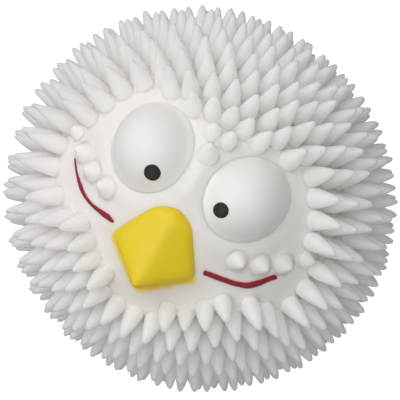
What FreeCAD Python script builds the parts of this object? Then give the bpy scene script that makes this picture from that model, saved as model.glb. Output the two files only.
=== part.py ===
import FreeCAD, Part
import math
import os

import Sketcher

# Spiky squeaky ball with a chicken's face, lying on its back.
# Millimetres, +Z up and out of the face, -Y towards the chin, +X to the right of someone who
# looks at the face. The origin is on the floor, under the middle of the ball.

SIZES = [
    ("core_radius", 39.5, "smooth ball under the spikes, outside"),
    ("wall", 2.2, "thickness of the moulded skin"),
    ("spike_length", 8.7, "from the smooth ball to a spike's tip"),
    ("side_swell", 1.8, "how much longer the spikes at the two sides are"),
    ("spike_root_radius", 2.35, "radius of a spike where it leaves the ball"),
    ("spike_tip_radius", 0.75, "radius of a spike's rounded tip"),
    ("spike_bury", 1.2, "how far a spike's root runs into the wall"),
    ("spike_pitch", 5.64, "distance between spikes along the widest ring"),
    ("ring_pitch", 4.96, "distance between rings over the smooth ball"),
    ("forehead_angle", 22.0, "degrees from the face axis to the first ring"),
    ("base_ring_gap", 1.5, "clear skin between the squeaker and the last ring"),
    ("stub_length", 3.1, "height of the short spikes on the cheeks"),
    ("stub_root_radius", 2.2, "radius of a short spike at its root"),
    ("eye_polar", 25.0, "degrees from the face axis to an eye's axis"),
    ("eye_azimuth", 38.6, "degrees from +X round to the right eye"),
    ("eye_radius", 10.6, "radius of the crease round an eye"),
    ("eye_bulge", 6.5, "how far an eye stands out of the smooth ball"),
    ("eye_relief", 0.3, "clear space between an eye and the spikes beside it"),
    ("pupil_radius", 2.1, "radius of the painted pupil"),
    ("paint", 0.2, "thickness of a painted mark"),
    ("beak_width", 21.8, "between the corners of the mouth"),
    ("beak_rise", 8.5, "how far the beak's tip stands out of the smooth ball"),
    ("beak_drop", 18.6, "from the ball's middle down to the beak's tip"),
    ("crown_rise", 0.9, "how far the top of the beak's ridge stands out of the smooth ball"),
    ("brow_rise", 0.6, "the same for the beak's upper corners"),
    ("corner_rise", 1.0, "the same for the corners of the mouth"),
    ("smile_width", 1.4, "width of a smile line"),
    ("seat_gap", 0.1, "gap under the pieces that move with the face"),
    ("hole_radius", 8.0, "squeaker's hole in the skin"),
    ("flange_radius", 10.5, "squeaker's outer flange"),
    ("flange_depth", 1.5, "thickness of that flange at its rim"),
    ("lip_width", 1.2, "snap lip, past the hole's edge"),
    ("cap_radius", 6.5, "sound cap"),
    ("cap_thickness", 1.4, "sound cap"),
    ("sound_hole_radius", 0.7, "each hole of the sound cap"),
    ("sound_hole_circle", 4.0, "radius of the circle of sound holes"),
    ("tube_radius", 3.6, "whistle tube, outside"),
    ("tube_wall", 0.6, "whistle tube"),
    ("tube_length", 14.0, "whistle tube"),
    ("boss_wall", 1.2, "wall of the housing's boss round the tube"),
    ("boss_depth", 4.0, "length of the whistle tube inside the boss"),
    ("reed_length", 10.0, "reed, root to tip"),
    ("reed_width", 3.6, "reed"),
    ("reed_thickness", 0.15, "reed"),
    ("reed_gap", 0.1, "clear space each side of the reed"),
    ("channel_width", 2.2, "air channel of the reed seat"),
    ("channel_depth", 1.6, "air channel of the reed seat"),
    ("clamp_length", 2.0, "clamp that holds the reed's root"),
    ("reed_start", 0.4, "from the clamp's lower end up to the reed's root"),
    ("whistle_inset", 1.0, "from the tube's lower end up to the seat and the clamp"),
    ("lip_thickness", 1.0, "height of the snap lip"),
    ("snap_gap", 0.05, "clear space between the skin and the flange or the lip"),
]

STUBS_PER_CHEEK = 4
STUB_POLAR, STUB_POLAR_STEP = 26.8, 8.4  # degrees
STUB_AZIMUTH, STUB_AZIMUTH_STEP = -11.0, 5.6  # degrees
MUZZLE_POLAR, MUZZLE_CLEAR = 8.0, 29.0  # degrees: smooth skin round the beak
CHEEK_POLAR, CHEEK_AZIMUTH, CHEEK_CLEAR = 38.0, -4.0, 13.5  # degrees
TEMPLE_POLAR, TEMPLE_AZIMUTH, TEMPLE_CLEAR = 30.0, 22.0, 20.5  # degrees: beside the eye
RING_STAGGER = 0.4  # how far every other ring is turned, in shares of the spike pitch
EYE_CLEAR = 0.6  # clear skin round an eye, in shares of a spike's root radius
STUB_CLEAR = 0.9  # from a short spike to the nearest full one, in shares of their root radii
FACE_CROWDING = 0.5  # power of the sine that thins the rings towards the face
SMILE_ENDS = ((12.6, -9.9), (22.6, -8.0), (28.6, -2.9))  # inner end, middle and outer end
SMILE_REFERENCE_RADIUS = 39.5  # ball radius that those three points belong to
SMILE_CLEAR = 4.2  # mm between a smile line and the middle of the nearest spike
PUPIL_SIDE, PUPIL_DROP = 0.21, 0.315  # pupil's offset, in shares of the eye's dome radius
SOUND_HOLES = 6

# The beak's corners: sideways in shares of half its width, downwards in shares of its drop, and
# the size that says how far each stands out of the smooth ball.
BEAK_CORNERS = {
    "crown": (0.0, -0.04, "crown_rise"),
    "brow": (0.42, 0.09, "brow_rise"),
    "corner": (1.0, 0.62, "corner_rise"),
    "tip": (0.0, 1.0, "beak_rise"),
}
BEAK_ROOTS = {  # the same under the skin, sideways and downwards
    "crown_root": (0.0, -0.1),
    "brow_root": (0.46, 0.02),
    "corner_root": (1.02, 0.64),
    "tip_root": (0.0, 1.14),
}

doc = FreeCAD.newDocument("squeaky_ball")


def make_sheet():
    """The spreadsheet that holds every driving size."""
    sheet = doc.addObject("Spreadsheet::Sheet", "sizes")
    for row, (alias, value, note) in enumerate(SIZES, start=1):
        sheet.set(f"A{row}", alias)
        sheet.set(f"B{row}", str(value))
        sheet.set(f"C{row}", note)
        sheet.setAlias(f"B{row}", alias)
    doc.recompute()
    return sheet


sheet = make_sheet()


def size(alias):
    return float(sheet.get(alias))


def direction(polar, azimuth):
    """Unit vector from two angles in degrees, about the face axis +Z."""
    p, a = math.radians(polar), math.radians(azimuth)
    return FreeCAD.Vector(math.sin(p) * math.cos(a), math.sin(p) * math.sin(a), math.cos(p))


def angle_between(a, b):
    return math.degrees(a.getAngle(b))


# Angles and heights that follow from the sizes.
CORE = size("core_radius")
BASE_ANGLE = math.degrees(
    math.asin((size("flange_radius") + size("base_ring_gap") + size("spike_root_radius")) / CORE)
)
DEPTH_RADIUS = CORE + size("spike_length")


def tip_radius(way):
    """Distance from the ball's middle to the tip of the spike that points this way."""
    return DEPTH_RADIUS + size("side_swell") * way.x**2


def centre_height():
    """Height of the ball's middle when the ring of spikes round the squeaker is on the floor."""
    way = direction(180 - BASE_ANGLE, 90)
    tip = size("spike_tip_radius")
    return -(tip_radius(way) - tip) * way.z + tip


CENTRE = FreeCAD.Vector(0, 0, centre_height())


def placed(obj, offset=FreeCAD.Vector(0, 0, 0)):
    """Places an object from the ball's middle."""
    obj.Placement.Base = CENTRE + offset
    return obj


def bind(obj, **expressions):
    """Ties properties to spreadsheet cells."""
    for name, expression in expressions.items():
        obj.setExpression(name, expression)
    return obj


def sphere(name, radius):
    obj = bind(doc.addObject("Part::Sphere", name), Radius=radius)
    return placed(obj)


def combine(kind, name, base, tool):
    obj = doc.addObject(kind, name)
    obj.Base, obj.Tool = base, tool
    return obj


# ---------------------------------------------------------------- the skin with its spikes


def smile_points(side, shift=0.0):
    """Inner end, middle and outer end of a smile line, moved sideways by shift."""
    grow = CORE / SMILE_REFERENCE_RADIUS
    return [FreeCAD.Vector(side * x * grow, y * grow + shift, 0) for x, y in SMILE_ENDS]


def distance_to_smile(way):
    """Distance, seen along the face axis, from a spot on the smooth ball to the smile line."""
    spot = FreeCAD.Vector(abs(way.x) * CORE, way.y * CORE, 0)
    line = Part.Arc(*smile_points(1)).toShape()
    return line.distToShape(Part.Vertex(spot))[0]


def eye_way(side):
    azimuth = size("eye_azimuth")
    return direction(size("eye_polar"), azimuth if side > 0 else 180 - azimuth)


def is_smooth(way):
    """True where the face is smooth, so that no full spike stands there."""
    mirrored = FreeCAD.Vector(abs(way.x), way.y, way.z)
    eye_reach = size("eye_radius") + EYE_CLEAR * size("spike_root_radius")
    if angle_between(mirrored, eye_way(1)) < math.degrees(math.asin(eye_reach / CORE)):
        return True
    if angle_between(way, direction(MUZZLE_POLAR, -90)) < MUZZLE_CLEAR:
        return True
    if angle_between(mirrored, direction(CHEEK_POLAR, CHEEK_AZIMUTH)) < CHEEK_CLEAR:
        return True
    if angle_between(mirrored, direction(TEMPLE_POLAR, TEMPLE_AZIMUTH)) < TEMPLE_CLEAR:
        return True
    stub_reach = STUB_CLEAR * (size("stub_root_radius") + size("spike_root_radius"))
    if any(angle_between(way, stub) < math.degrees(stub_reach / CORE) for stub in stub_ways()):
        return True
    return way.z > 0 and distance_to_smile(way) < SMILE_CLEAR


def ring_angles():
    """Angles from the face axis to each ring of spikes, forehead to squeaker."""
    first, last = size("forehead_angle"), 180 - BASE_ANGLE
    steps = round(math.radians(last - first) * CORE / size("ring_pitch"))
    return [first + (last - first) * i / steps for i in range(steps + 1)]


def ring_count(polar):
    """Even number of spikes in a ring, which stand closer towards the face."""
    widest = 2 * math.pi * CORE / size("spike_pitch")
    power = FACE_CROWDING if polar < 90 else 1.0
    return 2 * round(widest / 2 * math.sin(math.radians(polar)) ** power)


def spike_ways():
    """Directions of all full spikes: staggered rings about the face axis."""
    ways = []
    for i, polar in enumerate(ring_angles()):
        count = ring_count(polar)
        for j in range(count):
            way = direction(polar, 90 + (j + RING_STAGGER * (i % 2)) * 360 / count)
            if not is_smooth(way):
                ways.append(way)
    return ways


def stub_ways():
    """Directions of the short spikes between each eye and its smile line."""
    ways = []
    for i in range(STUBS_PER_CHEEK):
        polar = STUB_POLAR + i * STUB_POLAR_STEP
        azimuth = STUB_AZIMUTH + i * STUB_AZIMUTH_STEP
        ways += [direction(polar, azimuth), direction(polar, 180 - azimuth)]
    return ways


def spike(way, length, root, tip):
    """One spike: a cone with a round tip, from inside the wall out to its length."""
    start = CORE - size("spike_bury")
    top = CORE + length
    centre = top - tip
    lean = math.asin((root - tip) / (centre - start))
    touch = FreeCAD.Vector(tip * math.cos(lean), 0, centre + tip * math.sin(lean))
    middle = FreeCAD.Vector(tip * math.cos((lean + math.pi / 2) / 2), 0,
                            centre + tip * math.sin((lean + math.pi / 2) / 2))
    foot, edge = FreeCAD.Vector(0, 0, start), FreeCAD.Vector(root, 0, start)
    point = FreeCAD.Vector(0, 0, top)
    outline = Part.Wire([
        Part.LineSegment(foot, edge).toShape(),
        Part.LineSegment(edge, touch).toShape(),
        Part.Arc(touch, middle, point).toShape(),
        Part.LineSegment(point, foot).toShape(),
    ])
    solid = Part.Face(outline).revolve(FreeCAD.Vector(0, 0, 0), FreeCAD.Vector(0, 0, 1), 360)
    solid.Placement = FreeCAD.Placement(
        FreeCAD.Vector(0, 0, 0), FreeCAD.Rotation(FreeCAD.Vector(0, 0, 1), way)
    )
    return solid


def spike_field():
    """Every full and short spike as one object."""
    root, tip = size("spike_root_radius"), size("spike_tip_radius")
    full = [spike(way, tip_radius(way) - CORE, root, tip) for way in spike_ways()]
    short = [spike(way, size("stub_length"), size("stub_root_radius"), tip) for way in stub_ways()]
    obj = doc.addObject("Part::Feature", "spike_field")
    obj.Shape = full[0].multiFuse(full[1:] + short)
    return placed(obj)


def eye_dome(name, side, extra=0.0):
    """Full sphere of an eye's dome, which the seat then cuts."""
    radius, bulge = size("eye_radius"), size("eye_bulge")
    cap = CORE + bulge - math.sqrt(CORE**2 - radius**2)
    dome = (radius**2 + cap**2) / (2 * cap)
    obj = doc.addObject("Part::Sphere", name)
    obj.Radius = dome + extra
    placed(obj, eye_way(side) * (CORE + bulge - dome))
    return obj


def make_skin():
    """Moulded skin: a hollow ball with a hole for the squeaker, and its spikes."""
    outside = sphere("core_outside", "sizes.core_radius")
    inside = sphere("core_inside", "sizes.core_radius - sizes.wall")
    hollow = combine("Part::Cut", "hollow_ball", outside, inside)
    bore = bind(doc.addObject("Part::Cylinder", "squeaker_bore"),
                Radius="sizes.hole_radius", Height="sizes.core_radius")
    bore.Placement.Base = CENTRE - FreeCAD.Vector(0, 0, 1.5 * CORE)
    bored = combine("Part::Cut", "bored_ball", hollow, bore)
    relief = combine("Part::Fuse", "eye_relief",
                     eye_dome("relief_right", 1, size("eye_relief")),
                     eye_dome("relief_left", -1, size("eye_relief")))
    spikes = combine("Part::Cut", "clear_spikes", spike_field(), relief)
    return combine("Part::Fuse", "skin", bored, spikes)


# ---------------------------------------------------------------- the face


def make_seat():
    """Ball that every piece of the face is cut back from, so that it stands clear of the skin."""
    return sphere("seat", "sizes.core_radius + sizes.seat_gap")


def make_eye(name, side, seat):
    return combine("Part::Cut", name, eye_dome(name + "_dome", side), seat)


def make_pupil(name, side):
    """Painted disc on an eye's dome, low and towards the beak."""
    inner, outer = eye_dome(name + "_in", side), eye_dome(name + "_out", side, size("paint"))
    middle, dome = outer.Placement.Base, float(inner.Radius)
    x, y = -side * PUPIL_SIDE, -PUPIL_DROP
    way = FreeCAD.Vector(x, y, math.sqrt(1 - x**2 - y**2))
    rod = bind(doc.addObject("Part::Cylinder", name + "_rod"), Radius="sizes.pupil_radius")
    rod.Height = 2 * dome
    rod.Placement = FreeCAD.Placement(middle, FreeCAD.Rotation(FreeCAD.Vector(0, 0, 1), way))
    film = combine("Part::Cut", name + "_film", outer, inner)
    return combine("Part::Common", name, film, rod)


def make_smile(name, side, film):
    """Painted line: the film round the ball inside an arc-shaped band."""
    half = size("smile_width") / 2
    inner, outer = smile_points(side, half), smile_points(side, -half)
    band = Part.Wire([
        Part.Arc(*inner).toShape(),
        Part.LineSegment(inner[2], outer[2]).toShape(),
        Part.Arc(*outer).toShape(),
        Part.LineSegment(outer[0], inner[0]).toShape(),
    ])
    block = doc.addObject("Part::Feature", name + "_block")
    block.Shape = Part.Face(band).extrude(FreeCAD.Vector(0, 0, DEPTH_RADIUS))
    placed(block)
    return combine("Part::Common", name, film, block)


def make_paint_film():
    """Thin shell that the smile lines are cut from."""
    inner = sphere("film_inside", "sizes.core_radius + sizes.seat_gap")
    outer = sphere("film_outside", "sizes.core_radius + sizes.seat_gap + sizes.paint")
    return combine("Part::Cut", "paint_film", outer, inner)


def on_ball(x, y, radius):
    """Point of the upper half of a ball about the middle, over a spot seen along the face axis."""
    return FreeCAD.Vector(x, y, math.sqrt(radius**2 - x**2 - y**2))


def beak_corners():
    """Ridge and base corners of the beak, from the ball's middle."""
    half, drop = size("beak_width") / 2, size("beak_drop")
    root = CORE - size("wall")  # below the seat, which trims the beak's underside
    corners = {}
    for name, (sideways, along, rise) in BEAK_CORNERS.items():
        corners[name] = on_ball(sideways * half, -along * drop, CORE + size(rise))
    for name, (sideways, along) in BEAK_ROOTS.items():
        corners[name] = on_ball(sideways * half, -along * drop, root)
    return corners


def mirrored_point(point):
    return FreeCAD.Vector(-point.x, point.y, point.z)


def beak_block():
    """Faceted beak with a ridge from crown to tip, as a closed solid."""
    c = beak_corners()
    right = [
        ("crown", "tip", "corner"), ("crown", "corner", "brow"),
        ("crown", "brow", "brow_root"), ("crown", "brow_root", "crown_root"),
        ("brow", "corner", "corner_root"), ("brow", "corner_root", "brow_root"),
        ("corner", "tip", "tip_root"), ("corner", "tip_root", "corner_root"),
        ("crown_root", "brow_root", "corner_root"), ("crown_root", "corner_root", "tip_root"),
    ]
    faces = []
    for names in right:
        points = [c[n] for n in names]
        for corners in (points, [mirrored_point(p) for p in points]):
            faces.append(Part.Face(Part.makePolygon(corners + corners[:1])))
    solid = Part.Solid(Part.Shell(Part.makeCompound(faces).Faces))
    solid.fix(1e-6, 1e-6, 1e-6)
    obj = doc.addObject("Part::Feature", "beak_block")
    obj.Shape = solid if solid.Volume > 0 else solid.reversed()
    return placed(obj)


def make_face():
    seat, film = make_seat(), make_paint_film()
    return [
        make_eye("right_eye", 1, seat),
        make_eye("left_eye", -1, seat),
        make_pupil("right_pupil", 1),
        make_pupil("left_pupil", -1),
        make_smile("right_smile", 1, film),
        make_smile("left_smile", -1, film),
        combine("Part::Cut", "beak", beak_block(), seat),
    ]


# ---------------------------------------------------------------- the squeaker


def role(body, name):
    """One of a body's own origin planes or axes."""
    return next(f for f in body.Origin.OriginFeatures if f.Role == name)


def turned_body(name, points):
    """A body of revolution about Z: points are (radius, height) above the floor, in order."""
    body = doc.addObject("PartDesign::Body", name)
    sketch = body.newObject("Sketcher::SketchObject", name + "_outline")
    sketch.AttachmentSupport = [(role(body, "XZ_Plane"), "")]
    sketch.MapMode = "FlatFace"
    corners = [FreeCAD.Vector(r, z, 0) for r, z in points]
    for i, corner in enumerate(corners):
        sketch.addGeometry(Part.LineSegment(corner, corners[(i + 1) % len(corners)]), False)
    turn = body.newObject("PartDesign::Revolution", name + "_turn")
    turn.Profile = sketch
    turn.ReferenceAxis = (sketch, ["V_Axis"])
    turn.Angle = 360
    sketch.Visibility = False
    body.Tip = turn
    return body


def padded_body(name, points, floor, length):
    """A body whose outline in XY is drawn through points and padded up from floor by length."""
    body = doc.addObject("PartDesign::Body", name)
    sketch = body.newObject("Sketcher::SketchObject", name + "_outline")
    sketch.AttachmentSupport = [(role(body, "XY_Plane"), "")]
    sketch.MapMode = "FlatFace"
    sketch.AttachmentOffset = FreeCAD.Placement(FreeCAD.Vector(0, 0, floor), FreeCAD.Rotation())
    for edge in points:
        sketch.addGeometry(edge, False)
    pad = body.newObject("PartDesign::Pad", name + "_pad")
    pad.Profile = sketch
    pad.Length = length
    body.Tip = pad
    return body


def ball_height(radius, ball):
    """Height above the floor of a ball's underside, at a distance from the axis."""
    return CENTRE.z - math.sqrt(ball**2 - radius**2)


def squeaker_levels():
    """Heights above the floor that the squeaker's pieces share."""
    rim, hole = size("flange_radius"), size("hole_radius")
    flange_bottom = ball_height(rim, CORE) - size("flange_depth")
    cap_top = flange_bottom + size("cap_thickness")
    lip_edge = ball_height(hole + size("lip_width"), CORE - size("wall"))
    lip_bottom = lip_edge + size("snap_gap")
    return {
        "flange_bottom": flange_bottom,
        "flange_hole": ball_height(hole, CORE) - size("snap_gap"),
        "flange_rim": ball_height(rim, CORE) - size("snap_gap"),
        "cap_top": cap_top,
        "floor_top": cap_top + size("boss_wall"),
        "lip_bottom": lip_bottom,
        "lip_top": lip_bottom + size("lip_thickness"),
        "boss_top": cap_top + size("boss_wall") + size("boss_depth"),
        "tube_bottom": cap_top + size("boss_wall"),
        "whistle": cap_top + size("boss_wall") + size("whistle_inset"),
    }


def make_housing(z):
    """Squeaker housing: outer flange, neck through the skin, snap lip and the tube's boss."""
    boss = size("tube_radius") + size("boss_wall")
    mouth = size("tube_radius") - size("tube_wall")
    hole, skirt = size("hole_radius"), size("boss_wall")
    return turned_body("squeaker_housing", [
        (size("cap_radius"), z["flange_bottom"]),
        (size("flange_radius"), z["flange_bottom"]),
        (size("flange_radius"), z["flange_rim"]),
        (hole, z["flange_hole"]),
        (hole, z["lip_bottom"]),
        (hole + size("lip_width"), z["lip_bottom"]),
        (hole, z["lip_top"]),
        (hole - skirt, z["lip_top"]),
        (hole - skirt, z["floor_top"]),
        (boss, z["floor_top"]),
        (boss, z["boss_top"]),
        (size("tube_radius"), z["boss_top"]),
        (size("tube_radius"), z["tube_bottom"]),
        (mouth, z["tube_bottom"]),
        (mouth, z["cap_top"]),
        (size("cap_radius"), z["cap_top"]),
    ])


def make_cap(z):
    """Sound cap: a disc with a ring of holes, drilled as one pocket and turned about the axis."""
    body = turned_body("sound_cap", [
        (0, z["flange_bottom"]),
        (size("cap_radius"), z["flange_bottom"]),
        (size("cap_radius"), z["cap_top"]),
        (0, z["cap_top"]),
    ])
    sketch = body.newObject("Sketcher::SketchObject", "sound_hole_outline")
    sketch.AttachmentSupport = [(role(body, "XY_Plane"), "")]
    sketch.MapMode = "FlatFace"
    middle = FreeCAD.Vector(size("sound_hole_circle"), 0, 0)
    normal = FreeCAD.Vector(0, 0, 1)
    sketch.addGeometry(Part.Circle(middle, normal, size("sound_hole_radius")), False)
    sketch.addConstraint(Sketcher.Constraint("Radius", 0, size("sound_hole_radius")))
    sketch.setExpression("Constraints[0]", "sizes.sound_hole_radius")
    hole = body.newObject("PartDesign::Pocket", "sound_hole")
    hole.Profile = sketch
    hole.Type = "ThroughAll"
    hole.Midplane = True
    ring = body.newObject("PartDesign::PolarPattern", "sound_holes")
    ring.Originals = [hole]
    ring.Axis = (sketch, ["N_Axis"])
    ring.Angle = 360
    ring.Occurrences = SOUND_HOLES
    body.Tip = ring
    return body


def make_tube(z):
    """Whistle tube, pressed into the boss of the housing."""
    outer = size("tube_radius")
    inner = outer - size("tube_wall")
    top = z["tube_bottom"] + size("tube_length")
    return turned_body("whistle_tube", [
        (inner, z["tube_bottom"]), (outer, z["tube_bottom"]), (outer, top), (inner, top),
    ])


def circle_cut(radius, y):
    """Half the length of the chord that the line at y cuts from a circle about the axis."""
    return math.sqrt(radius**2 - y**2)


def make_reed_seat(z):
    """Half-round seat in the tube, with an open air channel along its flat face."""
    bore = size("tube_radius") - size("tube_wall")
    flat = -(size("reed_thickness") / 2 + size("reed_gap"))
    half, deep = size("channel_width") / 2, flat - size("channel_depth")
    end = circle_cut(bore, flat)
    corners = [FreeCAD.Vector(x, y, 0) for x, y in (
        (-end, flat), (-half, flat), (-half, deep), (half, deep), (half, flat), (end, flat))]
    edges = [Part.LineSegment(a, b) for a, b in zip(corners, corners[1:])]
    edges.append(Part.Arc(corners[-1], FreeCAD.Vector(0, -bore, 0), corners[0]))
    length = size("reed_start") + size("reed_length") + size("reed_start")
    return padded_body("reed_seat", edges, z["whistle"], length)


def make_reed_clamp(z):
    """Half-round wedge that presses the reed's root towards its seat."""
    bore = size("tube_radius") - size("tube_wall")
    flat = size("reed_thickness") / 2 + size("reed_gap")
    end = circle_cut(bore, flat)
    left, right = FreeCAD.Vector(-end, flat, 0), FreeCAD.Vector(end, flat, 0)
    edges = [Part.LineSegment(left, right), Part.Arc(right, FreeCAD.Vector(0, bore, 0), left)]
    return padded_body("reed_clamp", edges, z["whistle"], size("clamp_length"))


def make_reed(z):
    """Thin strip over the air channel, held at its lower end."""
    reed = bind(doc.addObject("Part::Box", "reed"), Length="sizes.reed_width",
                Width="sizes.reed_thickness", Height="sizes.reed_length")
    reed.Placement.Base = FreeCAD.Vector(
        -size("reed_width") / 2, -size("reed_thickness") / 2, z["whistle"] + size("reed_start")
    )
    return reed


def make_squeaker():
    z = squeaker_levels()
    return [make_housing(z), make_cap(z), make_tube(z), make_reed_seat(z), make_reed_clamp(z),
            make_reed(z)]


# ---------------------------------------------------------------- checks and export


def check(pieces):
    """Stops if any object of the document failed, or a piece isn't a sound shape."""
    for obj in doc.Objects:
        if {"Invalid", "Error"} & set(obj.State):
            raise RuntimeError(f"{obj.Name} failed: {obj.State}")
    for piece in pieces:
        if piece.Shape.isNull() or not piece.Shape.isValid() or not piece.Shape.Solids:
            raise RuntimeError(f"{piece.Label} has no sound shape")


def export(pieces):
    os.makedirs("parts", exist_ok=True)
    for piece in pieces:
        piece.Shape.exportStep(f"parts/{piece.Label}.step")
        box, count = piece.Shape.BoundBox, len(piece.Shape.Solids)
        print(f"{piece.Label:18s} {count} solid, {piece.Shape.Volume:9.1f} mm3, "
              f"X {box.XMin:7.2f} {box.XMax:7.2f}  Y {box.YMin:7.2f} {box.YMax:7.2f}  "
              f"Z {box.ZMin:7.2f} {box.ZMax:7.2f}")


def main():
    pieces = [make_skin()] + make_face() + make_squeaker()
    for piece in pieces:
        piece.Label = piece.Name
    doc.recompute()
    check(pieces)
    export(pieces)
    pivot = squeaker_levels()["whistle"] + size("clamp_length")
    print(f"{len(spike_ways())} spikes and {len(stub_ways())} short ones, the ball's middle at "
          f"{CENTRE.z:.3f} mm, the reed's pivot at {pivot:.3f} mm")


main()
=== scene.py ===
"""Spiky squeaky ball with a chicken's face, in soft white vinyl, lying on its back.

Metres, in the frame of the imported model: +Z out of the face, -Y towards the chin, +X to the right
of someone who looks at the face, and the origin on the floor under the middle of the ball.
"""

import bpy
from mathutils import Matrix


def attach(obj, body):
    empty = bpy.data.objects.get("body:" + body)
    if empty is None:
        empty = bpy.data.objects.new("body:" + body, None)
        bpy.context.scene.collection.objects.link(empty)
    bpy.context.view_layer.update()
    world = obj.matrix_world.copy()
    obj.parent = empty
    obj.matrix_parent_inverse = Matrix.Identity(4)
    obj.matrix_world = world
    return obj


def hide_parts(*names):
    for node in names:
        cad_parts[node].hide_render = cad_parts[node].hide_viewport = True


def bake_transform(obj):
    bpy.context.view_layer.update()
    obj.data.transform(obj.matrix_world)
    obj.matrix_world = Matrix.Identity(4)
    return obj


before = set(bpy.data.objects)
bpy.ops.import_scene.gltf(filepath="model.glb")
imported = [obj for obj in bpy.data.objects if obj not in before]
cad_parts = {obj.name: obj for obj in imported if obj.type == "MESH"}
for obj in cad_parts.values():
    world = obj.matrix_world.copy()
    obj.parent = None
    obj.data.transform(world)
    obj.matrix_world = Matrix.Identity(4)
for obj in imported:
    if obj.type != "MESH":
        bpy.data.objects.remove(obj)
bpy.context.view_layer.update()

import logging
import math
import random
from dataclasses import dataclass, field
from enum import Enum

import bpy
import numpy as np
from mathutils import Matrix, Vector
from mathutils.geometry import delaunay_2d_cdt

log = logging.getLogger("squeaky_ball")

MM = 0.001
Colour = tuple[float, float, float, float]


# ---------------------------------------------------------------- directions and plain maths


def direction(polar: float, azimuth: float) -> np.ndarray:
    """Unit vector from two angles in degrees, about the face axis +Z.

    Args:
        polar: Angle from the face axis.
        azimuth: Angle round that axis, from +X.

    Returns:
        The unit vector.
    """
    p, a = math.radians(polar), math.radians(azimuth)
    return np.array([math.sin(p) * math.cos(a), math.sin(p) * math.sin(a), math.cos(p)])


def across(way: np.ndarray) -> tuple[np.ndarray, np.ndarray]:
    """Two unit vectors square to a direction and to each other, right-handed with it.

    Args:
        way: Unit direction.

    Returns:
        The two vectors.
    """
    helper = np.array([0.0, 1.0, 0.0]) if abs(way[1]) < 0.9 else np.array([1.0, 0.0, 0.0])
    first = np.cross(helper, way)
    first /= np.linalg.norm(first)
    return first, np.cross(way, first)


def unit(rows: np.ndarray) -> np.ndarray:
    """Rows scaled to length one."""
    return rows / np.linalg.norm(rows, axis=-1, keepdims=True)


def bell(x: np.ndarray, middle: float, spread: float) -> np.ndarray:
    """Bell curve of height one."""
    return np.exp(-(((x - middle) / spread) ** 2))


def ease(x: np.ndarray, low: float, high: float) -> np.ndarray:
    """Smooth step from zero at low to one at high."""
    t = np.clip((x - low) / (high - low), 0.0, 1.0)
    return t * t * (3 - 2 * t)


def turns(count: int) -> np.ndarray:
    """Even angles round a full turn, in radians."""
    return np.arange(count) * 2 * math.pi / count


def hoop(count: int, first: np.ndarray, second: np.ndarray) -> np.ndarray:
    """Points of a ring about the middle, from its two half axes."""
    turn = turns(count)
    return np.outer(np.cos(turn), first) + np.outer(np.sin(turn), second)


def level_ring(count: int, radius: float, polar: float) -> np.ndarray:
    """Ring of points on a ball about the face axis, at an angle in radians from it."""
    turn, flat = turns(count), radius * math.sin(polar)
    return np.stack(
        [flat * np.cos(turn), flat * np.sin(turn), np.full(count, radius * math.cos(polar))], axis=1
    )


def circle_through(points: list[np.ndarray]) -> tuple[np.ndarray, float]:
    """Middle and radius of the circle through three points of a plane.

    Args:
        points: Three 2-D points.

    Returns:
        The middle and the radius.
    """
    a, b, c = points
    lines = 2 * np.array([b - a, c - a])
    middle = np.linalg.solve(lines, np.array([b @ b - a @ a, c @ c - a @ a]))
    return middle, float(np.linalg.norm(a - middle))


# ---------------------------------------------------------------- sizes


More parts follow.
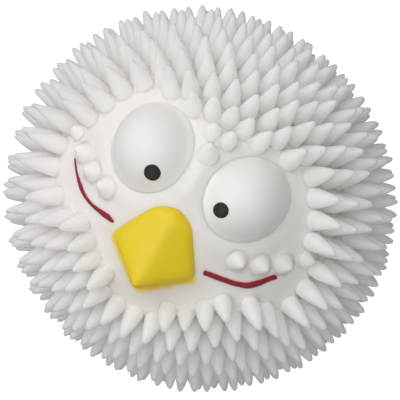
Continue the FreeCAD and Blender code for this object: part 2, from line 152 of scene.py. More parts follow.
@dataclass(frozen=True)
class BallSizes:
    """Sizes of the moulding, in metres and degrees, the same as in the part's source.

    Only the ovals are new: how far each eye is stretched along and across, and its tilt.
    """

    core: float = 39.5 * MM
    wall: float = 2.2 * MM
    spike_length: float = 8.7 * MM
    side_swell: float = 1.8 * MM
    spike_root: float = 2.35 * MM
    spike_tip: float = 0.75 * MM
    spike_pitch: float = 5.64 * MM
    ring_pitch: float = 4.96 * MM
    forehead_angle: float = 22.0
    base_gap: float = 1.5 * MM
    stub_length: float = 3.1 * MM
    stub_root: float = 2.2 * MM
    eye_polar: float = 25.0
    eye_azimuth: float = 38.6
    eye_radius: float = 10.6 * MM
    eye_bulge: float = 6.5 * MM
    left_oval: tuple[float, float, float] = (1.05, 0.95, 123.0)
    right_oval: tuple[float, float, float] = (1.03, 0.91, 52.0)
    pupil_radius: float = 2.1 * MM
    beak_half: float = 10.9 * MM
    beak_drop: float = 18.6 * MM
    beak_rise: float = 8.5 * MM
    hole_radius: float = 8.0 * MM
    flange_radius: float = 10.5 * MM

    @property
    def base_angle(self) -> float:
        """Degrees from -Z to the ring of spikes that the ball lies on."""
        reach = self.flange_radius + self.base_gap + self.spike_root
        return math.degrees(math.asin(reach / self.core))

    def tip_radius(self, way: np.ndarray) -> float:
        """Distance from the ball's middle to the tip of the spike that points this way."""
        return self.core + self.spike_length + self.side_swell * way[0] ** 2

    @property
    def centre(self) -> np.ndarray:
        """Middle of the ball, when it lies on the ring of spikes round the squeaker."""
        way = direction(180 - self.base_angle, 90)
        return np.array(
            [0.0, 0.0, -(self.tip_radius(way) - self.spike_tip) * way[2] + self.spike_tip]
        )

    def eye_way(self, side: int) -> np.ndarray:
        """Direction of an eye from the ball's middle: side is 1 for the right eye, else -1."""
        return direction(
            self.eye_polar, self.eye_azimuth if side > 0 else 180 - self.eye_azimuth
        )

    def eye_axes(self, side: int) -> tuple[np.ndarray, np.ndarray]:
        """Long and short directions of an eye's oval, each as long as the oval is stretched."""
        way = self.eye_way(side)
        first, second = across(way)
        longer, shorter, tilt = self.right_oval if side > 0 else self.left_oval
        lean = math.radians(tilt)
        long = math.cos(lean) * first + math.sin(lean) * second
        return long * longer, np.cross(way, long) * shorter

    def eye_gap(self, ways: np.ndarray, side: int) -> np.ndarray:
        """Distance from an eye's axis, in metres, measured so that its oval counts as round.

        Args:
            ways: Unit directions, one per row.
            side: 1 for the right eye, else -1.

        Returns:
            The distances.
        """
        long, short = self.eye_axes(side)
        u, v = ways @ long / (long @ long), ways @ short / (short @ short)
        return np.where(ways @ self.eye_way(side) > 0, np.hypot(u, v) * self.core, 1.0)

    @property
    def eye_dome(self) -> tuple[float, float]:
        """Radius of an eye's dome, and its middle's distance from the ball's middle."""
        cap = self.core + self.eye_bulge - math.sqrt(self.core**2 - self.eye_radius**2)
        dome = (self.eye_radius**2 + cap**2) / (2 * cap)
        return dome, self.core + self.eye_bulge - dome


# ---------------------------------------------------------------- mesh helpers


class MeshKit:
    """Makes mesh objects from plain lists, with smooth faces and named point values."""

    @staticmethod
    def build(
        name: str,
        points: np.ndarray,
        faces: list[tuple[int, ...]],
        values: dict[str, np.ndarray] | None = None,
    ) -> bpy.types.Object:
        """Makes a mesh object.

        Args:
            name: Name of the object and its mesh.
            points: One row per vertex, in metres.
            faces: Vertex numbers of each face.
            values: Numbers from 0 to 1 for each vertex, by name, which the finishes read.

        Returns:
            The new object, linked to the scene.
        """
        mesh = bpy.data.meshes.new(name)
        mesh.from_pydata([tuple(p) for p in points], [], faces)
        mesh.shade_smooth()
        for key, numbers in (values or {}).items():
            layer = mesh.attributes.new(key, "FLOAT", "POINT")
            layer.data.foreach_set("value", np.asarray(numbers, np.float32))
        mesh.validate()
        mesh.update()
        obj = bpy.data.objects.new(name, mesh)
        bpy.context.collection.objects.link(obj)
        return obj

    @staticmethod
    def lathe_faces(rows: int, segments: int, start: int = 0) -> list[tuple[int, ...]]:
        """Quads between rings of vertices that follow each other.

        Args:
            rows: Number of rings.
            segments: Vertices in each ring.
            start: Number of the first vertex.

        Returns:
            The quads.
        """
        faces = []
        for r in range(rows - 1):
            for s in range(segments):
                t = (s + 1) % segments
                a, b = start + r * segments, start + (r + 1) * segments
                faces.append((a + s, a + t, b + t, b + s))
        return faces

    @staticmethod
    def fan(ring_start: int, segments: int, tip: int, inward: bool = False) -> list[tuple[int, ...]]:
        """Triangles from a ring of vertices to one point.

        Args:
            ring_start: Number of the ring's first vertex.
            segments: Vertices in the ring.
            tip: Number of the point.
            inward: Turns the triangles over.

        Returns:
            The triangles.
        """
        faces = []
        for s in range(segments):
            a, b = ring_start + s, ring_start + (s + 1) % segments
            faces.append((b, a, tip) if inward else (a, b, tip))
        return faces


# ---------------------------------------------------------------- where the spikes stand


@dataclass
class Spike:
    """One moulded spike: where it points, how tall it is, and how it was pulled from the mould."""

    way: np.ndarray
    height: float
    foot: float = 0.0
    short: bool = False
    lean: tuple[float, float] = (0.0, 0.0)
    girth: float = 1.0


@dataclass
class SpikeLattice:
    """Staggered rings of spikes about the face axis, as the part's source lays them out."""

    sizes: BallSizes
    stub_polar: tuple[float, float] = (26.8, 8.4)
    stub_azimuth: tuple[float, float] = (-11.0, 5.6)
    stubs_per_cheek: int = 4
    muzzle: tuple[float, float] = (8.0, 29.0)
    cheek: tuple[float, float, float] = (38.0, -4.0, 13.5)
    temple: tuple[float, float, float] = (30.0, 22.0, 20.5)
    stub_clear: float = 0.9
    eye_clear: float = 0.6
    eye_toe: float = 0.9 * MM
    crowding: float = 0.5
    smile: tuple[tuple[float, float], ...] = ((12.6, -9.9), (22.6, -8.0), (28.6, -2.9))
    smile_clear: float = 4.2 * MM
    widest_foot: float = 2.95 * MM
    widest_stub: float = 2.7 * MM
    shrink: float = 0.492
    stagger: float = 0.4
    stray: float = 0.0030
    stub_lean: float = 0.45
    stub_share: float = 0.75
    face_lean: float = 0.12
    dwindle: float = 0.38
    steady_polar: float = 150.0
    bend: float = 0.04
    girth_spread: float = 0.05
    height_spread: tuple[float, float] = (-0.045, 0.02)
    near_face: tuple[float, float] = (0.72, 0.93)
    seed: int = 7

    def smile_distance(self, way: np.ndarray) -> float:
        """Distance, seen along the face axis, from a spot on the ball to the smile line.

        Args:
            way: Direction of the spot.

        Returns:
            The distance in metres.
        """
        ends = [np.array(p) * MM for p in self.smile]
        middle, radius = circle_through(ends)
        spot = np.array([abs(way[0]), way[1]]) * self.sizes.core
        angles = [math.atan2(*(p - middle)[::-1]) for p in (ends[0], ends[2], spot)]
        low, high = min(angles[:2]), max(angles[:2])
        if low <= angles[2] <= high:
            return abs(float(np.linalg.norm(spot - middle)) - radius)
        return min(float(np.linalg.norm(spot - p)) for p in (ends[0], ends[2]))

    def is_smooth(self, way: np.ndarray) -> bool:
        """True where the face is smooth, so that no full spike stands there."""
        mirrored = np.array([abs(way[0]), way[1], way[2]])
        reach = (self.sizes.eye_radius + self.eye_clear * self.sizes.spike_root) / self.sizes.core
        near_eye = mirrored @ self.sizes.eye_way(1) > math.cos(math.asin(reach))
        polar, clear = self.muzzle
        near_beak = way @ direction(polar, -90) > math.cos(math.radians(clear))
        bare = any(
            mirrored @ direction(polar, azimuth) > math.cos(math.radians(clear))
            for polar, azimuth, clear in (self.cheek, self.temple)
        )
        by_smile = way[2] > 0 and self.smile_distance(way) < self.smile_clear
        reach = self.stub_clear * (self.sizes.stub_root + self.sizes.spike_root) / self.sizes.core
        by_stub = max(way @ stub for stub in self.stub_ways()) > math.cos(reach)
        return bool(near_eye or near_beak or bare or by_smile or by_stub)

    def stub_ways(self) -> list[np.ndarray]:
        """Directions of the short spikes on the cheeks."""
        ways = []
        for i in range(self.stubs_per_cheek):
            polar = self.stub_polar[0] + i * self.stub_polar[1]
            azimuth = self.stub_azimuth[0] + i * self.stub_azimuth[1]
            ways += [direction(polar, azimuth), direction(polar, 180 - azimuth)]
        return ways

    def ring_angles(self) -> list[float]:
        """Degrees from the face axis to each ring, forehead to squeaker."""
        first, last = self.sizes.forehead_angle, 180 - self.sizes.base_angle
        steps = round(math.radians(last - first) * self.sizes.core / self.sizes.ring_pitch)
        return [first + (last - first) * i / steps for i in range(steps + 1)]

    def ring_count(self, polar: float) -> int:
        """Even number of spikes in the ring at this angle."""
        widest = 2 * math.pi * self.sizes.core / self.sizes.spike_pitch
        power = self.crowding if polar < 90 else 1.0
        return 2 * round(widest / 2 * math.sin(math.radians(polar)) ** power)

    def ways(self) -> tuple[list[np.ndarray], list[np.ndarray]]:
        """Directions of the full spikes, and of the short ones on the cheeks."""
        full = []
        for i, polar in enumerate(self.ring_angles()):
            count = self.ring_count(polar)
            for j in range(count):
                way = direction(polar, 90 + (j + self.stagger * (i % 2)) * 360 / count)
                if not self.is_smooth(way):
                    full.append(way)
        return full, self.stub_ways()

    def is_steady(self, way: np.ndarray) -> bool:
        """True for the spikes that the ball lies on, which all stand the same."""
        return bool(way[2] < math.cos(math.radians(self.steady_polar)))

    def spikes(self) -> list[Spike]:
        """Every spike, with a foot as wide as its neighbours leave room for.

        Returns:
            The spikes, full ones first.
        """
        draw = random.Random(self.seed)
        full, short = self.ways()
        ways = np.array(full + short)
        for i, way in enumerate(ways[: len(full)]):
            if not self.is_steady(way):
                first, second = across(way)
                ways[i] = unit(way + draw.gauss(0, self.stray) * first
                               + draw.gauss(0, self.stray) * second)
        near = ways @ ways.T
        np.fill_diagonal(near, -1.0)
        spacing = np.arccos(np.clip(near.max(axis=1), -1, 1)) * self.sizes.core
        spikes = []
        for i, way in enumerate(ways):
            is_short = i >= len(full)
            room = self.shrink * spacing[i]
            for side in (-1, 1):
                gap = float(self.sizes.eye_gap(way[None, :], side)[0])
                room = min(room, gap - self.sizes.eye_radius + self.eye_toe)
            height = (
                self.stub_share * self.sizes.stub_length if is_short
                else self.sizes.tip_radius(way) - self.sizes.core
            )
            near_face = 0.0 if is_short else float(ease(np.array(way[2]), *self.near_face))
            loose = 0.0 if self.is_steady(way) else 1.0
            outward = unit(way * way[2] - np.array([0.0, 0.0, 1.0]))
            drawn = self.stub_lean if is_short else self.face_lean * near_face
            first, second = across(way)
            spikes.append(Spike(
                way=way,
                height=height
                * (1 + loose * draw.uniform(*self.height_spread) - self.dwindle * near_face),
                foot=min(room, self.widest_stub if is_short else self.widest_foot),
                short=is_short,
                lean=(
                    loose * draw.gauss(0, self.bend) + drawn * float(outward @ first),
                    loose * draw.gauss(0, self.bend) + drawn * float(outward @ second),
                ),
                girth=1 + loose * draw.uniform(-self.girth_spread, self.girth_spread),
            ))
        return spikes


# ---------------------------------------------------------------- the moulded skin


@dataclass
class SpikySkin:
    """The hollow moulding: a ball with its spikes, the creases round the eyes and a hole below."""

    sizes: BallSizes
    segments: int = 14
    hole_segments: int = 56
    fill_pitch: float = 1.25 * MM
    fill_margin: float = 0.6 * MM
    eye_rings: tuple[float, ...] = (8.8, 9.7, 10.2, 10.5, 10.8, 11.15, 11.6, 12.1, 12.8, 13.6)
    eye_segments: int = 96
    profile: tuple[tuple[float, float], ...] = (
        (0.00, 3.30), (0.03, 2.90), (0.08, 2.66), (0.18, 2.46), (0.31, 2.20), (0.54, 1.72),
        (0.77, 1.19), (0.90, 0.84), (0.96, 0.57), (0.988, 0.31), (1.00, 0.00),
    )
    stub_profile: tuple[tuple[float, float], ...] = (
        (0.00, 3.30), (0.03, 2.90), (0.10, 2.55), (0.25, 2.15), (0.45, 1.75), (0.65, 1.35),
        (0.82, 0.95), (0.93, 0.58), (0.985, 0.27), (1.00, 0.00),
    )
    rows: tuple[float, ...] = (0.06, 0.16, 0.29, 0.44, 0.60, 0.75, 0.87, 0.95, 0.986)
    swell: float = 0.20
    inner_rows: int = 18
    inner_top: float = 0.12
    ring_margin: float = 0.3 * MM
    ring_clear: float = 0.5 * MM
    hole_margin: float = 0.8 * MM
    shared_reach: float = 12.2 * MM
    points: list[np.ndarray] = field(default_factory=list)
    reach: list[np.ndarray] = field(default_factory=list)
    faces: list[tuple[int, ...]] = field(default_factory=list)
    count: int = 0

    def relief(self, ways: np.ndarray) -> np.ndarray:
        """How far the smooth skin stands out of a true ball: creases, lips and soft swellings.

        Args:
            ways: Unit directions, one per row.

        Returns:
            Heights in metres.
        """
        high = np.zeros(len(ways))
        for side in (-1, 1):
            off = self.sizes.eye_gap(ways, side) / MM
            high -= 0.05 * bell(off, 10.85, 0.20)
            high += 0.10 * bell(off, 11.7, 0.7)
            high += 0.35 * bell(off, 13.4, 1.8)
            high -= 0.6 * (1 - ease(off, 9.0, 10.4))
        x, y = ways[:, 0] * self.sizes.core / MM, ways[:, 1] * self.sizes.core / MM
        front = ease(ways[:, 2], 0.2, 0.5)
        high += front * 0.70 * bell(x, 0.0, 2.6) * bell(y, 7.0, 5.5)
        high += front * 0.60 * bell(np.abs(x), 21.0, 4.5) * bell(y, -12.7, 1.5)
        high -= front * 0.45 * bell(np.abs(x), 19.0, 5.5) * bell(y, -5.7, 1.5)
        high -= front * 0.35 * bell(np.abs(x), 13.5, 2.2) * bell(y, -14.5, 3.0)
        ripple = np.sin(0.9 * x + 1.3 * np.sin(0.7 * y)) * np.sin(1.1 * y + 1.7 * np.sin(0.5 * x))
        high += front * 0.07 * ripple
        return high * MM

    def girth_at(self, spike: Spike, share: np.ndarray) -> np.ndarray:
        """Radius of a spike, in metres, at shares of its height, if it stood alone.

        Args:
            spike: The spike.
            share: Shares of its height, from 0 at the skin to 1 at the tip.

        Returns:
            The radii.
        """
        table = np.array(self.stub_profile if spike.short else self.profile)
        return np.interp(share, table[:, 0], table[:, 1]) * MM * spike.girth

    def flare(self, spike: Spike, off: np.ndarray) -> np.ndarray:
        """Height of a spike's side, in metres, at distances from its axis.

        Args:
            spike: The spike.
            off: Distances from the axis, in metres.

        Returns:
            The heights, which fall to zero where the spike meets the smooth skin.
        """
        share = np.linspace(0, 1, 120)
        return np.interp(off, self.girth_at(spike, share)[::-1], share[::-1]) * spike.height

    def add(self, points: np.ndarray, reach: np.ndarray) -> int:
        """Adds vertices.

        Args:
            points: Their places from the ball's middle.
            reach: How far up a spike each one is, from 0 to 1.

        Returns:
            The number of the first one.
        """
        first = self.count
        self.points.append(points)
        self.reach.append(np.broadcast_to(reach, len(points)).astype(float))
        self.count += len(points)
        return first

    def foot_ring(self, spike: Spike) -> np.ndarray:
        """Unit directions of the ring where a spike leaves the ball."""
        angle = math.asin(spike.foot / self.sizes.core)
        rim = hoop(self.segments, *across(spike.way))
        return math.cos(angle) * spike.way + math.sin(angle) * rim

    def fill_ways(self, spikes: list[Spike]) -> np.ndarray:
        """Directions of the loose points that carry the skin between the spikes.

        Args:
            spikes: Every spike.

        Returns:
            Unit directions, clear of every spike's foot and of the hole.
        """
        core = self.sizes.core
        total = int(4 * math.pi * core**2 / self.fill_pitch**2)
        step = np.arange(total) + 0.5
        height = 1 - 2 * step / total
        turn = math.pi * (3 - math.sqrt(5)) * step
        flat = np.sqrt(1 - height**2)
        spread = np.stack([flat * np.cos(turn), flat * np.sin(turn), height], axis=1)
        outer_ring, inner_ring = self.eye_rings[-1] * MM, self.eye_rings[0] * MM
        keep = np.ones(total, bool)
        for side in (-1, 1):
            off = self.sizes.eye_gap(spread, side)
            under = off < inner_ring - 1 * MM
            keep &= (off > outer_ring + self.ring_clear) | (under & (np.arange(total) % 5 == 0))
        rings = []
        for side in (-1, 1):
            rim = hoop(self.eye_segments, *self.sizes.eye_axes(side))
            for radius in self.eye_rings:
                flat = rim * radius * MM
                depth = np.sqrt(core**2 - (flat**2).sum(axis=1))
                rings.append((flat + np.outer(depth, self.sizes.eye_way(side))) / core)
        rings = np.concatenate(rings)
        left, right = self.sizes.eye_gap(rings, -1), self.sizes.eye_gap(rings, 1)
        overlap = (left < outer_ring) & (right < outer_ring)
        rings = rings[~overlap | (np.minimum(left, right) < self.shared_reach)]
        loose = spread[keep]
        hole = math.cos(math.asin(self.sizes.hole_radius / core) + self.hole_margin / core)
        loose = loose[loose[:, 2] > -hole]
        ways = np.array([s.way for s in spikes])
        feet = np.array([s.foot for s in spikes])

        def clear(rows: np.ndarray, margin: float) -> np.ndarray:
            """Rows that lie outside every foot by the margin."""
            gap = np.arccos(np.clip(rows @ ways.T, -1, 1)) * core - feet
            return rows[gap.min(axis=1) > margin]

        return np.concatenate([clear(loose, self.fill_margin), clear(rings, self.ring_margin)])

    def raise_spike(self, spike: Spike, ring_start: int, lift: np.ndarray) -> None:
        """Adds one spike above its foot ring.

        Args:
            spike: The spike.
            ring_start: Number of the foot ring's first vertex.
            lift: How far each point of that ring is raised by the spikes beside it, in metres.
        """
        first, second = across(spike.way)
        rim = hoop(self.segments, first, second)
        angle = math.asin(spike.foot / self.sizes.core)
        base = self.sizes.core * math.cos(angle) + float(self.relief(spike.way[None, :])[0])
        bend = spike.lean[0] * first + spike.lean[1] * second
        rows, reach = [], []
        for row in self.rows:
            rise = lift + row * (spike.height - lift)
            share = rise / spike.height
            radius = np.minimum(self.girth_at(spike, share), spike.foot * (1 + self.swell * share))
            axis = np.outer(base + rise, spike.way)
            axis += np.outer((rise - lift) * (0.5 + 0.5 * share), bend)
            rows.append(axis + rim * radius[:, None])
            reach.append(share * (0.0 if spike.short else 1.0))
        start = self.add(np.concatenate(rows), np.concatenate(reach))
        top = spike.way * (base + spike.height) + bend * (spike.height - float(lift.mean()))
        tip = self.add(top[None, :], reach[-1][:1])
        n = self.segments
        for s in range(n):
            t = (s + 1) % n
            self.faces.append((ring_start + s, ring_start + t, start + t, start + s))
        self.faces += MeshKit.lathe_faces(len(rows), n, start)
        self.faces += MeshKit.fan(start + (len(rows) - 1) * n, n, tip)

    def web(self, ways: np.ndarray, ring_edges: list[tuple[int, int]], rings: int) -> None:
        """Joins the foot rings, the loose points and the hole's edge into one skin.

        The directions are laid flat from the -Z pole, where circles stay circles, and then
        joined in the flat.

        Args:
            ways: Unit directions of the first vertices, foot rings first.
            ring_edges: Edges that must stay, which are the rings themselves.
            rings: Number of foot rings at the start.
        """
        flat = ways[:, :2] / (1 + ways[:, 2:])
        result = delaunay_2d_cdt([Vector(p) for p in flat], ring_edges, [], 0, 1e-9, True)
        source = [origin[0] for origin in result[3]]
        limit = rings * self.segments
        for face in result[2]:
            corners = tuple(source[i] for i in face)
            owners = {c // self.segments if c < limit else -1 for c in corners}
            if len(owners) > 1 or -1 in owners:
                self.faces.append(corners)

    def close_below(self, rim_start: int) -> None:
        """Adds the hole's edge and the inside of the wall.

        Args:
            rim_start: Number of the first vertex of the hole's outer rim.
        """
        n, hole = self.hole_segments, self.sizes.hole_radius
        inner = self.sizes.core - self.sizes.wall
        lowest = math.pi - math.asin(hole / inner)
        start = self.count
        for polar in np.linspace(lowest, self.inner_top, self.inner_rows):
            self.add(level_ring(n, inner, polar), np.zeros(n))
        top = self.add(np.array([[0.0, 0.0, inner]]), np.zeros(1))
        for s in range(n):
            t = (s + 1) % n
            self.faces.append((rim_start + t, rim_start + s, start + s, start + t))
        for face in MeshKit.lathe_faces(self.inner_rows, n, start):
            self.faces.append(face[::-1])
        self.faces += MeshKit.fan(start + (self.inner_rows - 1) * n, n, top, inward=True)

    def make(self) -> bpy.types.Object:
        """Builds the whole skin."""
        spikes = SpikeLattice(self.sizes).spikes()
        core = self.sizes.core
        rings = np.concatenate([self.foot_ring(s) for s in spikes])
        loose = self.fill_ways(spikes)
        drop = math.pi - math.asin(self.sizes.hole_radius / core)
        rim = level_ring(self.hole_segments, 1.0, drop)
        ways = np.concatenate([rings, loose, rim])
        first, lift = np.zeros(len(ways)), np.zeros(len(ways))
        for spike in spikes:
            off = np.arccos(np.clip(ways @ spike.way, -1, 1)) * core
            side = self.flare(spike, np.maximum(off, spike.foot))
            lift = np.maximum(lift, np.minimum(first, side))
            first = np.maximum(first, side)
        reach = np.clip(lift / self.sizes.spike_length, 0, 1)
        self.add(ways * (core + self.relief(ways) + lift)[:, None], reach)
        n, edges = self.segments, []
        for k in range(len(spikes)):
            edges += [(k * n + s, k * n + (s + 1) % n) for s in range(n)]
        rim_start = len(rings) + len(loose)
        m = self.hole_segments
        edges += [(rim_start + s, rim_start + (s + 1) % m) for s in range(m)]
        self.web(ways, edges, len(spikes))
        for k, spike in enumerate(spikes):
            self.raise_spike(spike, k * n, lift[k * n : (k + 1) * n])
        self.close_below(rim_start)
        points = np.concatenate(self.points)
        values = {"reach": np.concatenate(self.reach)}
        placed = points + self.sizes.centre
        placed[:, 2] = np.maximum(placed[:, 2], 0.02 * MM)
        return MeshKit.build("vinyl_skin", placed, self.faces, values)


# ---------------------------------------------------------------- eyes


@dataclass
class Eye:
    """A domed eye whose foot flares into the skin, and its painted pupil."""

    sizes: BallSizes
    side: int
    segments: int = 96
    shrink: float = 0.965
    fillet: float = 2.2 * MM
    foot: float = 10.66 * MM
    pupil_spot: tuple[float, float] = (0.24, 0.30)
    paint: float = 0.14 * MM
    seed: int = 3

    @property
    def name(self) -> str:
        """Name of this side."""
        return "right" if self.side > 0 else "left"

    def place(self, radius: np.ndarray, turn: np.ndarray, height: np.ndarray) -> np.ndarray:
        """Points of the oval eye, from the round eye that it is drawn out of.

        Args:
            radius: Distance of each point from the eye's axis, in metres.
            turn: Angle about that axis, from the oval's long side.
            height: Distance from the ball's middle along that axis, in metres.

        Returns:
            The points.
        """
        sizes = self.sizes
        long, short = sizes.eye_axes(self.side)
        flat = np.outer(radius * np.cos(turn), long) + np.outer(radius * np.sin(turn), short)
        drop = np.sqrt(sizes.core**2 - (flat**2).sum(axis=1)) - np.sqrt(sizes.core**2 - radius**2)
        return sizes.centre + np.outer(height + drop, sizes.eye_way(self.side)) + flat

    def dome_height(self, radius: np.ndarray) -> np.ndarray:
        """Height of the eye's outside along its axis: a dome that flares out into the skin."""
        sizes = self.sizes
        dome, middle = sizes.eye_dome
        wide = radius / self.shrink
        rim = sizes.eye_radius
        edge = math.sqrt(dome**2 - rim**2)
        ball = middle + np.sqrt(np.maximum(dome**2 - np.minimum(wide, rim) ** 2, 0.0))
        ball -= np.maximum(wide - rim, 0.0) * rim / edge
        skin = np.sqrt(sizes.core**2 - radius**2) + 0.03 * MM
        near = np.clip(1 - np.abs(ball - skin) / self.fillet, 0, 1)
        return np.maximum(ball, skin) + near**2 * self.fillet / 4

    def make_dome(self) -> bpy.types.Object:
        """Builds the eye as a closed dome: underside, foot, flare and crown."""
        sizes, n = self.sizes, self.segments
        seat = sizes.core + 0.02 * MM
        under = [(r, math.sqrt(seat**2 - r**2)) for r in np.linspace(0.6 * MM, 9.8 * MM, 8)]
        edge = [(self.foot + 0.02 * MM, math.sqrt((sizes.core - 0.2 * MM) ** 2 - self.foot**2))]
        radii = np.concatenate([
            np.linspace(self.foot, 8.7 * MM, 16), np.linspace(8.4 * MM, 0.3 * MM, 22)
        ])
        crown = list(zip(radii, self.dome_height(radii)))
        profile = np.array(under + edge + crown)
        turn = np.tile(turns(n), len(profile))
        radius, height = np.repeat(profile[:, 0], n), np.repeat(profile[:, 1], n)
        ends = np.array([[0.0, profile[0, 1]], [0.0, profile[-1, 1]]])
        points = np.concatenate([
            self.place(radius, turn, height), self.place(ends[:, 0], np.zeros(2), ends[:, 1])
        ])
        rim = np.clip(radius / self.foot, 0, 1)
        rim[: len(under) * n] = 1.0
        rim = np.concatenate([rim, [1.0, 0.0]])
        faces = MeshKit.lathe_faces(len(profile), n)
        faces += MeshKit.fan(0, n, len(points) - 2, inward=True)
        faces += MeshKit.fan((len(profile) - 1) * n, n, len(points) - 1)
        return MeshKit.build(f"{self.name}_eye_dome", points, faces, {"rim": rim})

    def make_pupil(self) -> bpy.types.Object:
        """Builds the pupil as a thin pool of paint on the dome."""
        sizes, draw = self.sizes, random.Random(self.seed + self.side)
        dome, middle = sizes.eye_dome
        x, y = -self.side * self.pupil_spot[0], -self.pupil_spot[1]
        way = np.array([x, y, math.sqrt(1 - x**2 - y**2)])
        start = sizes.eye_way(self.side) * middle
        first, second = across(way)
        turn = turns(self.segments)
        wobble = 1 + sum(
            draw.uniform(0.003, 0.010) * np.cos(k * turn + draw.uniform(0, 6)) for k in (2, 3, 5)
        )
        layers = [(s, -0.06 * MM) for s in (0.2, 0.6, 0.98)]
        layers += [
            (s, self.paint * (1 - s**8) ** 0.5) for s in (1.0, 0.985, 0.95, 0.88, 0.75, 0.5, 0.2)
        ]
        rows, rim = [], []
        for share, lift in layers:
            radius = share * sizes.pupil_radius * wobble
            flat = np.outer(np.cos(turn) * radius, first) + np.outer(np.sin(turn) * radius, second)
            out = unit(flat + way * np.sqrt(dome**2 - radius**2)[:, None])
            rows.append(start + out * (dome + lift))
            rim.append(np.full(self.segments, share))
        flat = np.concatenate(
            rows + [[start + way * (dome - 0.06 * MM), start + way * (dome + self.paint)]]
        )
        long, short = sizes.eye_axes(self.side)
        a, b = flat @ unit(long), flat @ unit(short)
        points = self.place(
            np.hypot(a, b) * self.shrink, np.arctan2(b, a), flat @ sizes.eye_way(self.side)
        )
        faces = MeshKit.lathe_faces(len(layers), self.segments)
        faces += MeshKit.fan(0, self.segments, len(points) - 2, inward=True)
        faces += MeshKit.fan(
            (len(layers) - 1) * self.segments, self.segments, len(points) - 1
        )
        values = {"rim": np.concatenate(rim + [[0.0, 0.0]])}
        return MeshKit.build(f"{self.name}_pupil_paint", points, faces, values)


# ---------------------------------------------------------------- beak


@dataclass
class Beak:
    """The faceted beak: a cage of flat facets, then rounded off as a mould rounds it."""

    sizes: BallSizes
    voxel: float = 0.32 * MM
    rounding: int = 300
    sink: float = 0.12 * MM

    def on_ball(self, x: float, y: float, radius: float) -> np.ndarray:
        """Point of the upper half of a ball about the middle, over a spot of the face."""
        return np.array([x, y, math.sqrt(radius**2 - x**2 - y**2)])

    def corners(self) -> dict[str, np.ndarray]:
        """Corners of the right half, from the ball's middle."""
        half, drop, core = self.sizes.beak_half, self.sizes.beak_drop, self.sizes.core
        root = core - self.sizes.wall
        return {
            "crown": self.on_ball(0, 0.06 * drop, core + 2.3 * MM),
            "brow": self.on_ball(0.46 * half, -0.05 * drop, core + 1.8 * MM),
            "corner": self.on_ball(1.04 * half, -0.63 * drop, core + 2.6 * MM),
            "tip": self.on_ball(0, -1.08 * drop, core + self.sizes.beak_rise + 1.9 * MM),
            "crown_root": self.on_ball(0, 0.10 * drop, root),
            "brow_root": self.on_ball(0.48 * half, -0.01 * drop, root),
            "corner_root": self.on_ball(1.01 * half, -0.65 * drop, root),
            "tip_root": self.on_ball(0, -1.13 * drop, root),
        }

    def outline(self) -> np.ndarray:
        """Corners of the beak's foot, seen along the face axis, all round."""
        c = self.corners()
        right = [c[n][:2] for n in ("crown", "brow", "corner")]
        left = [p * np.array([-1, 1]) for p in right[:0:-1]]
        return np.array(right + [c["tip"][:2] * np.array([1, 1.05])] + left)

    def make(self) -> bpy.types.Object:
        """Builds the beak."""
        c = self.corners()
        names = list(c)
        points = [c[n] for n in names] + [c[n] * np.array([-1, 1, 1]) for n in names]
        right = [
            ("crown", "tip", "corner"), ("crown", "corner", "brow"),
            ("crown", "brow", "brow_root", "crown_root"),
            ("brow", "corner", "corner_root", "brow_root"),
            ("corner", "tip", "tip_root", "corner_root"),
            ("crown_root", "brow_root", "corner_root"),
            ("crown_root", "corner_root", "tip_root"),
        ]
        on_ridge = {"crown", "tip", "crown_root", "tip_root"}
        faces = []
        for face in right:
            faces.append(tuple(names.index(n) for n in face))
            faces.append(tuple(
                names.index(n) + (0 if n in on_ridge else len(names)) for n in face[::-1]
            ))
        used = sorted({i for f in faces for i in f})
        place = {old: new for new, old in enumerate(used)}
        cage = MeshKit.build(
            "beak_cage", np.array([points[i] for i in used]),
            [tuple(place[i] for i in f) for f in faces],
        )
        remesh = cage.modifiers.new("even", "REMESH")
        remesh.mode, remesh.voxel_size = "VOXEL", self.voxel
        soften = cage.modifiers.new("soften", "SMOOTH")
        soften.factor, soften.iterations = 0.5, self.rounding
        graph = bpy.context.evaluated_depsgraph_get()
        mesh = bpy.data.meshes.new_from_object(cage.evaluated_get(graph))
        bpy.data.objects.remove(cage)
        flat = np.empty(3 * len(mesh.vertices))
        mesh.vertices.foreach_get("co", flat)
        co = flat.reshape(-1, 3)
        faces = [tuple(p.vertices) for p in mesh.polygons]
        bpy.data.meshes.remove(mesh)
        out = np.linalg.norm(co, axis=1)
        seat = self.sizes.core - self.sink
        co *= np.maximum(1.0, seat / out)[:, None]
        from_tip = np.linalg.norm(co - c["tip"], axis=1)
        values = {
            "tip": np.exp(-((from_tip / (2.6 * MM)) ** 2)),
            "rise": np.clip((np.linalg.norm(co, axis=1) - self.sizes.core) / (6 * MM), 0, 1),
        }
        return MeshKit.build("beak_moulding", co + self.sizes.centre, faces, values)


# ---------------------------------------------------------------- smile lines


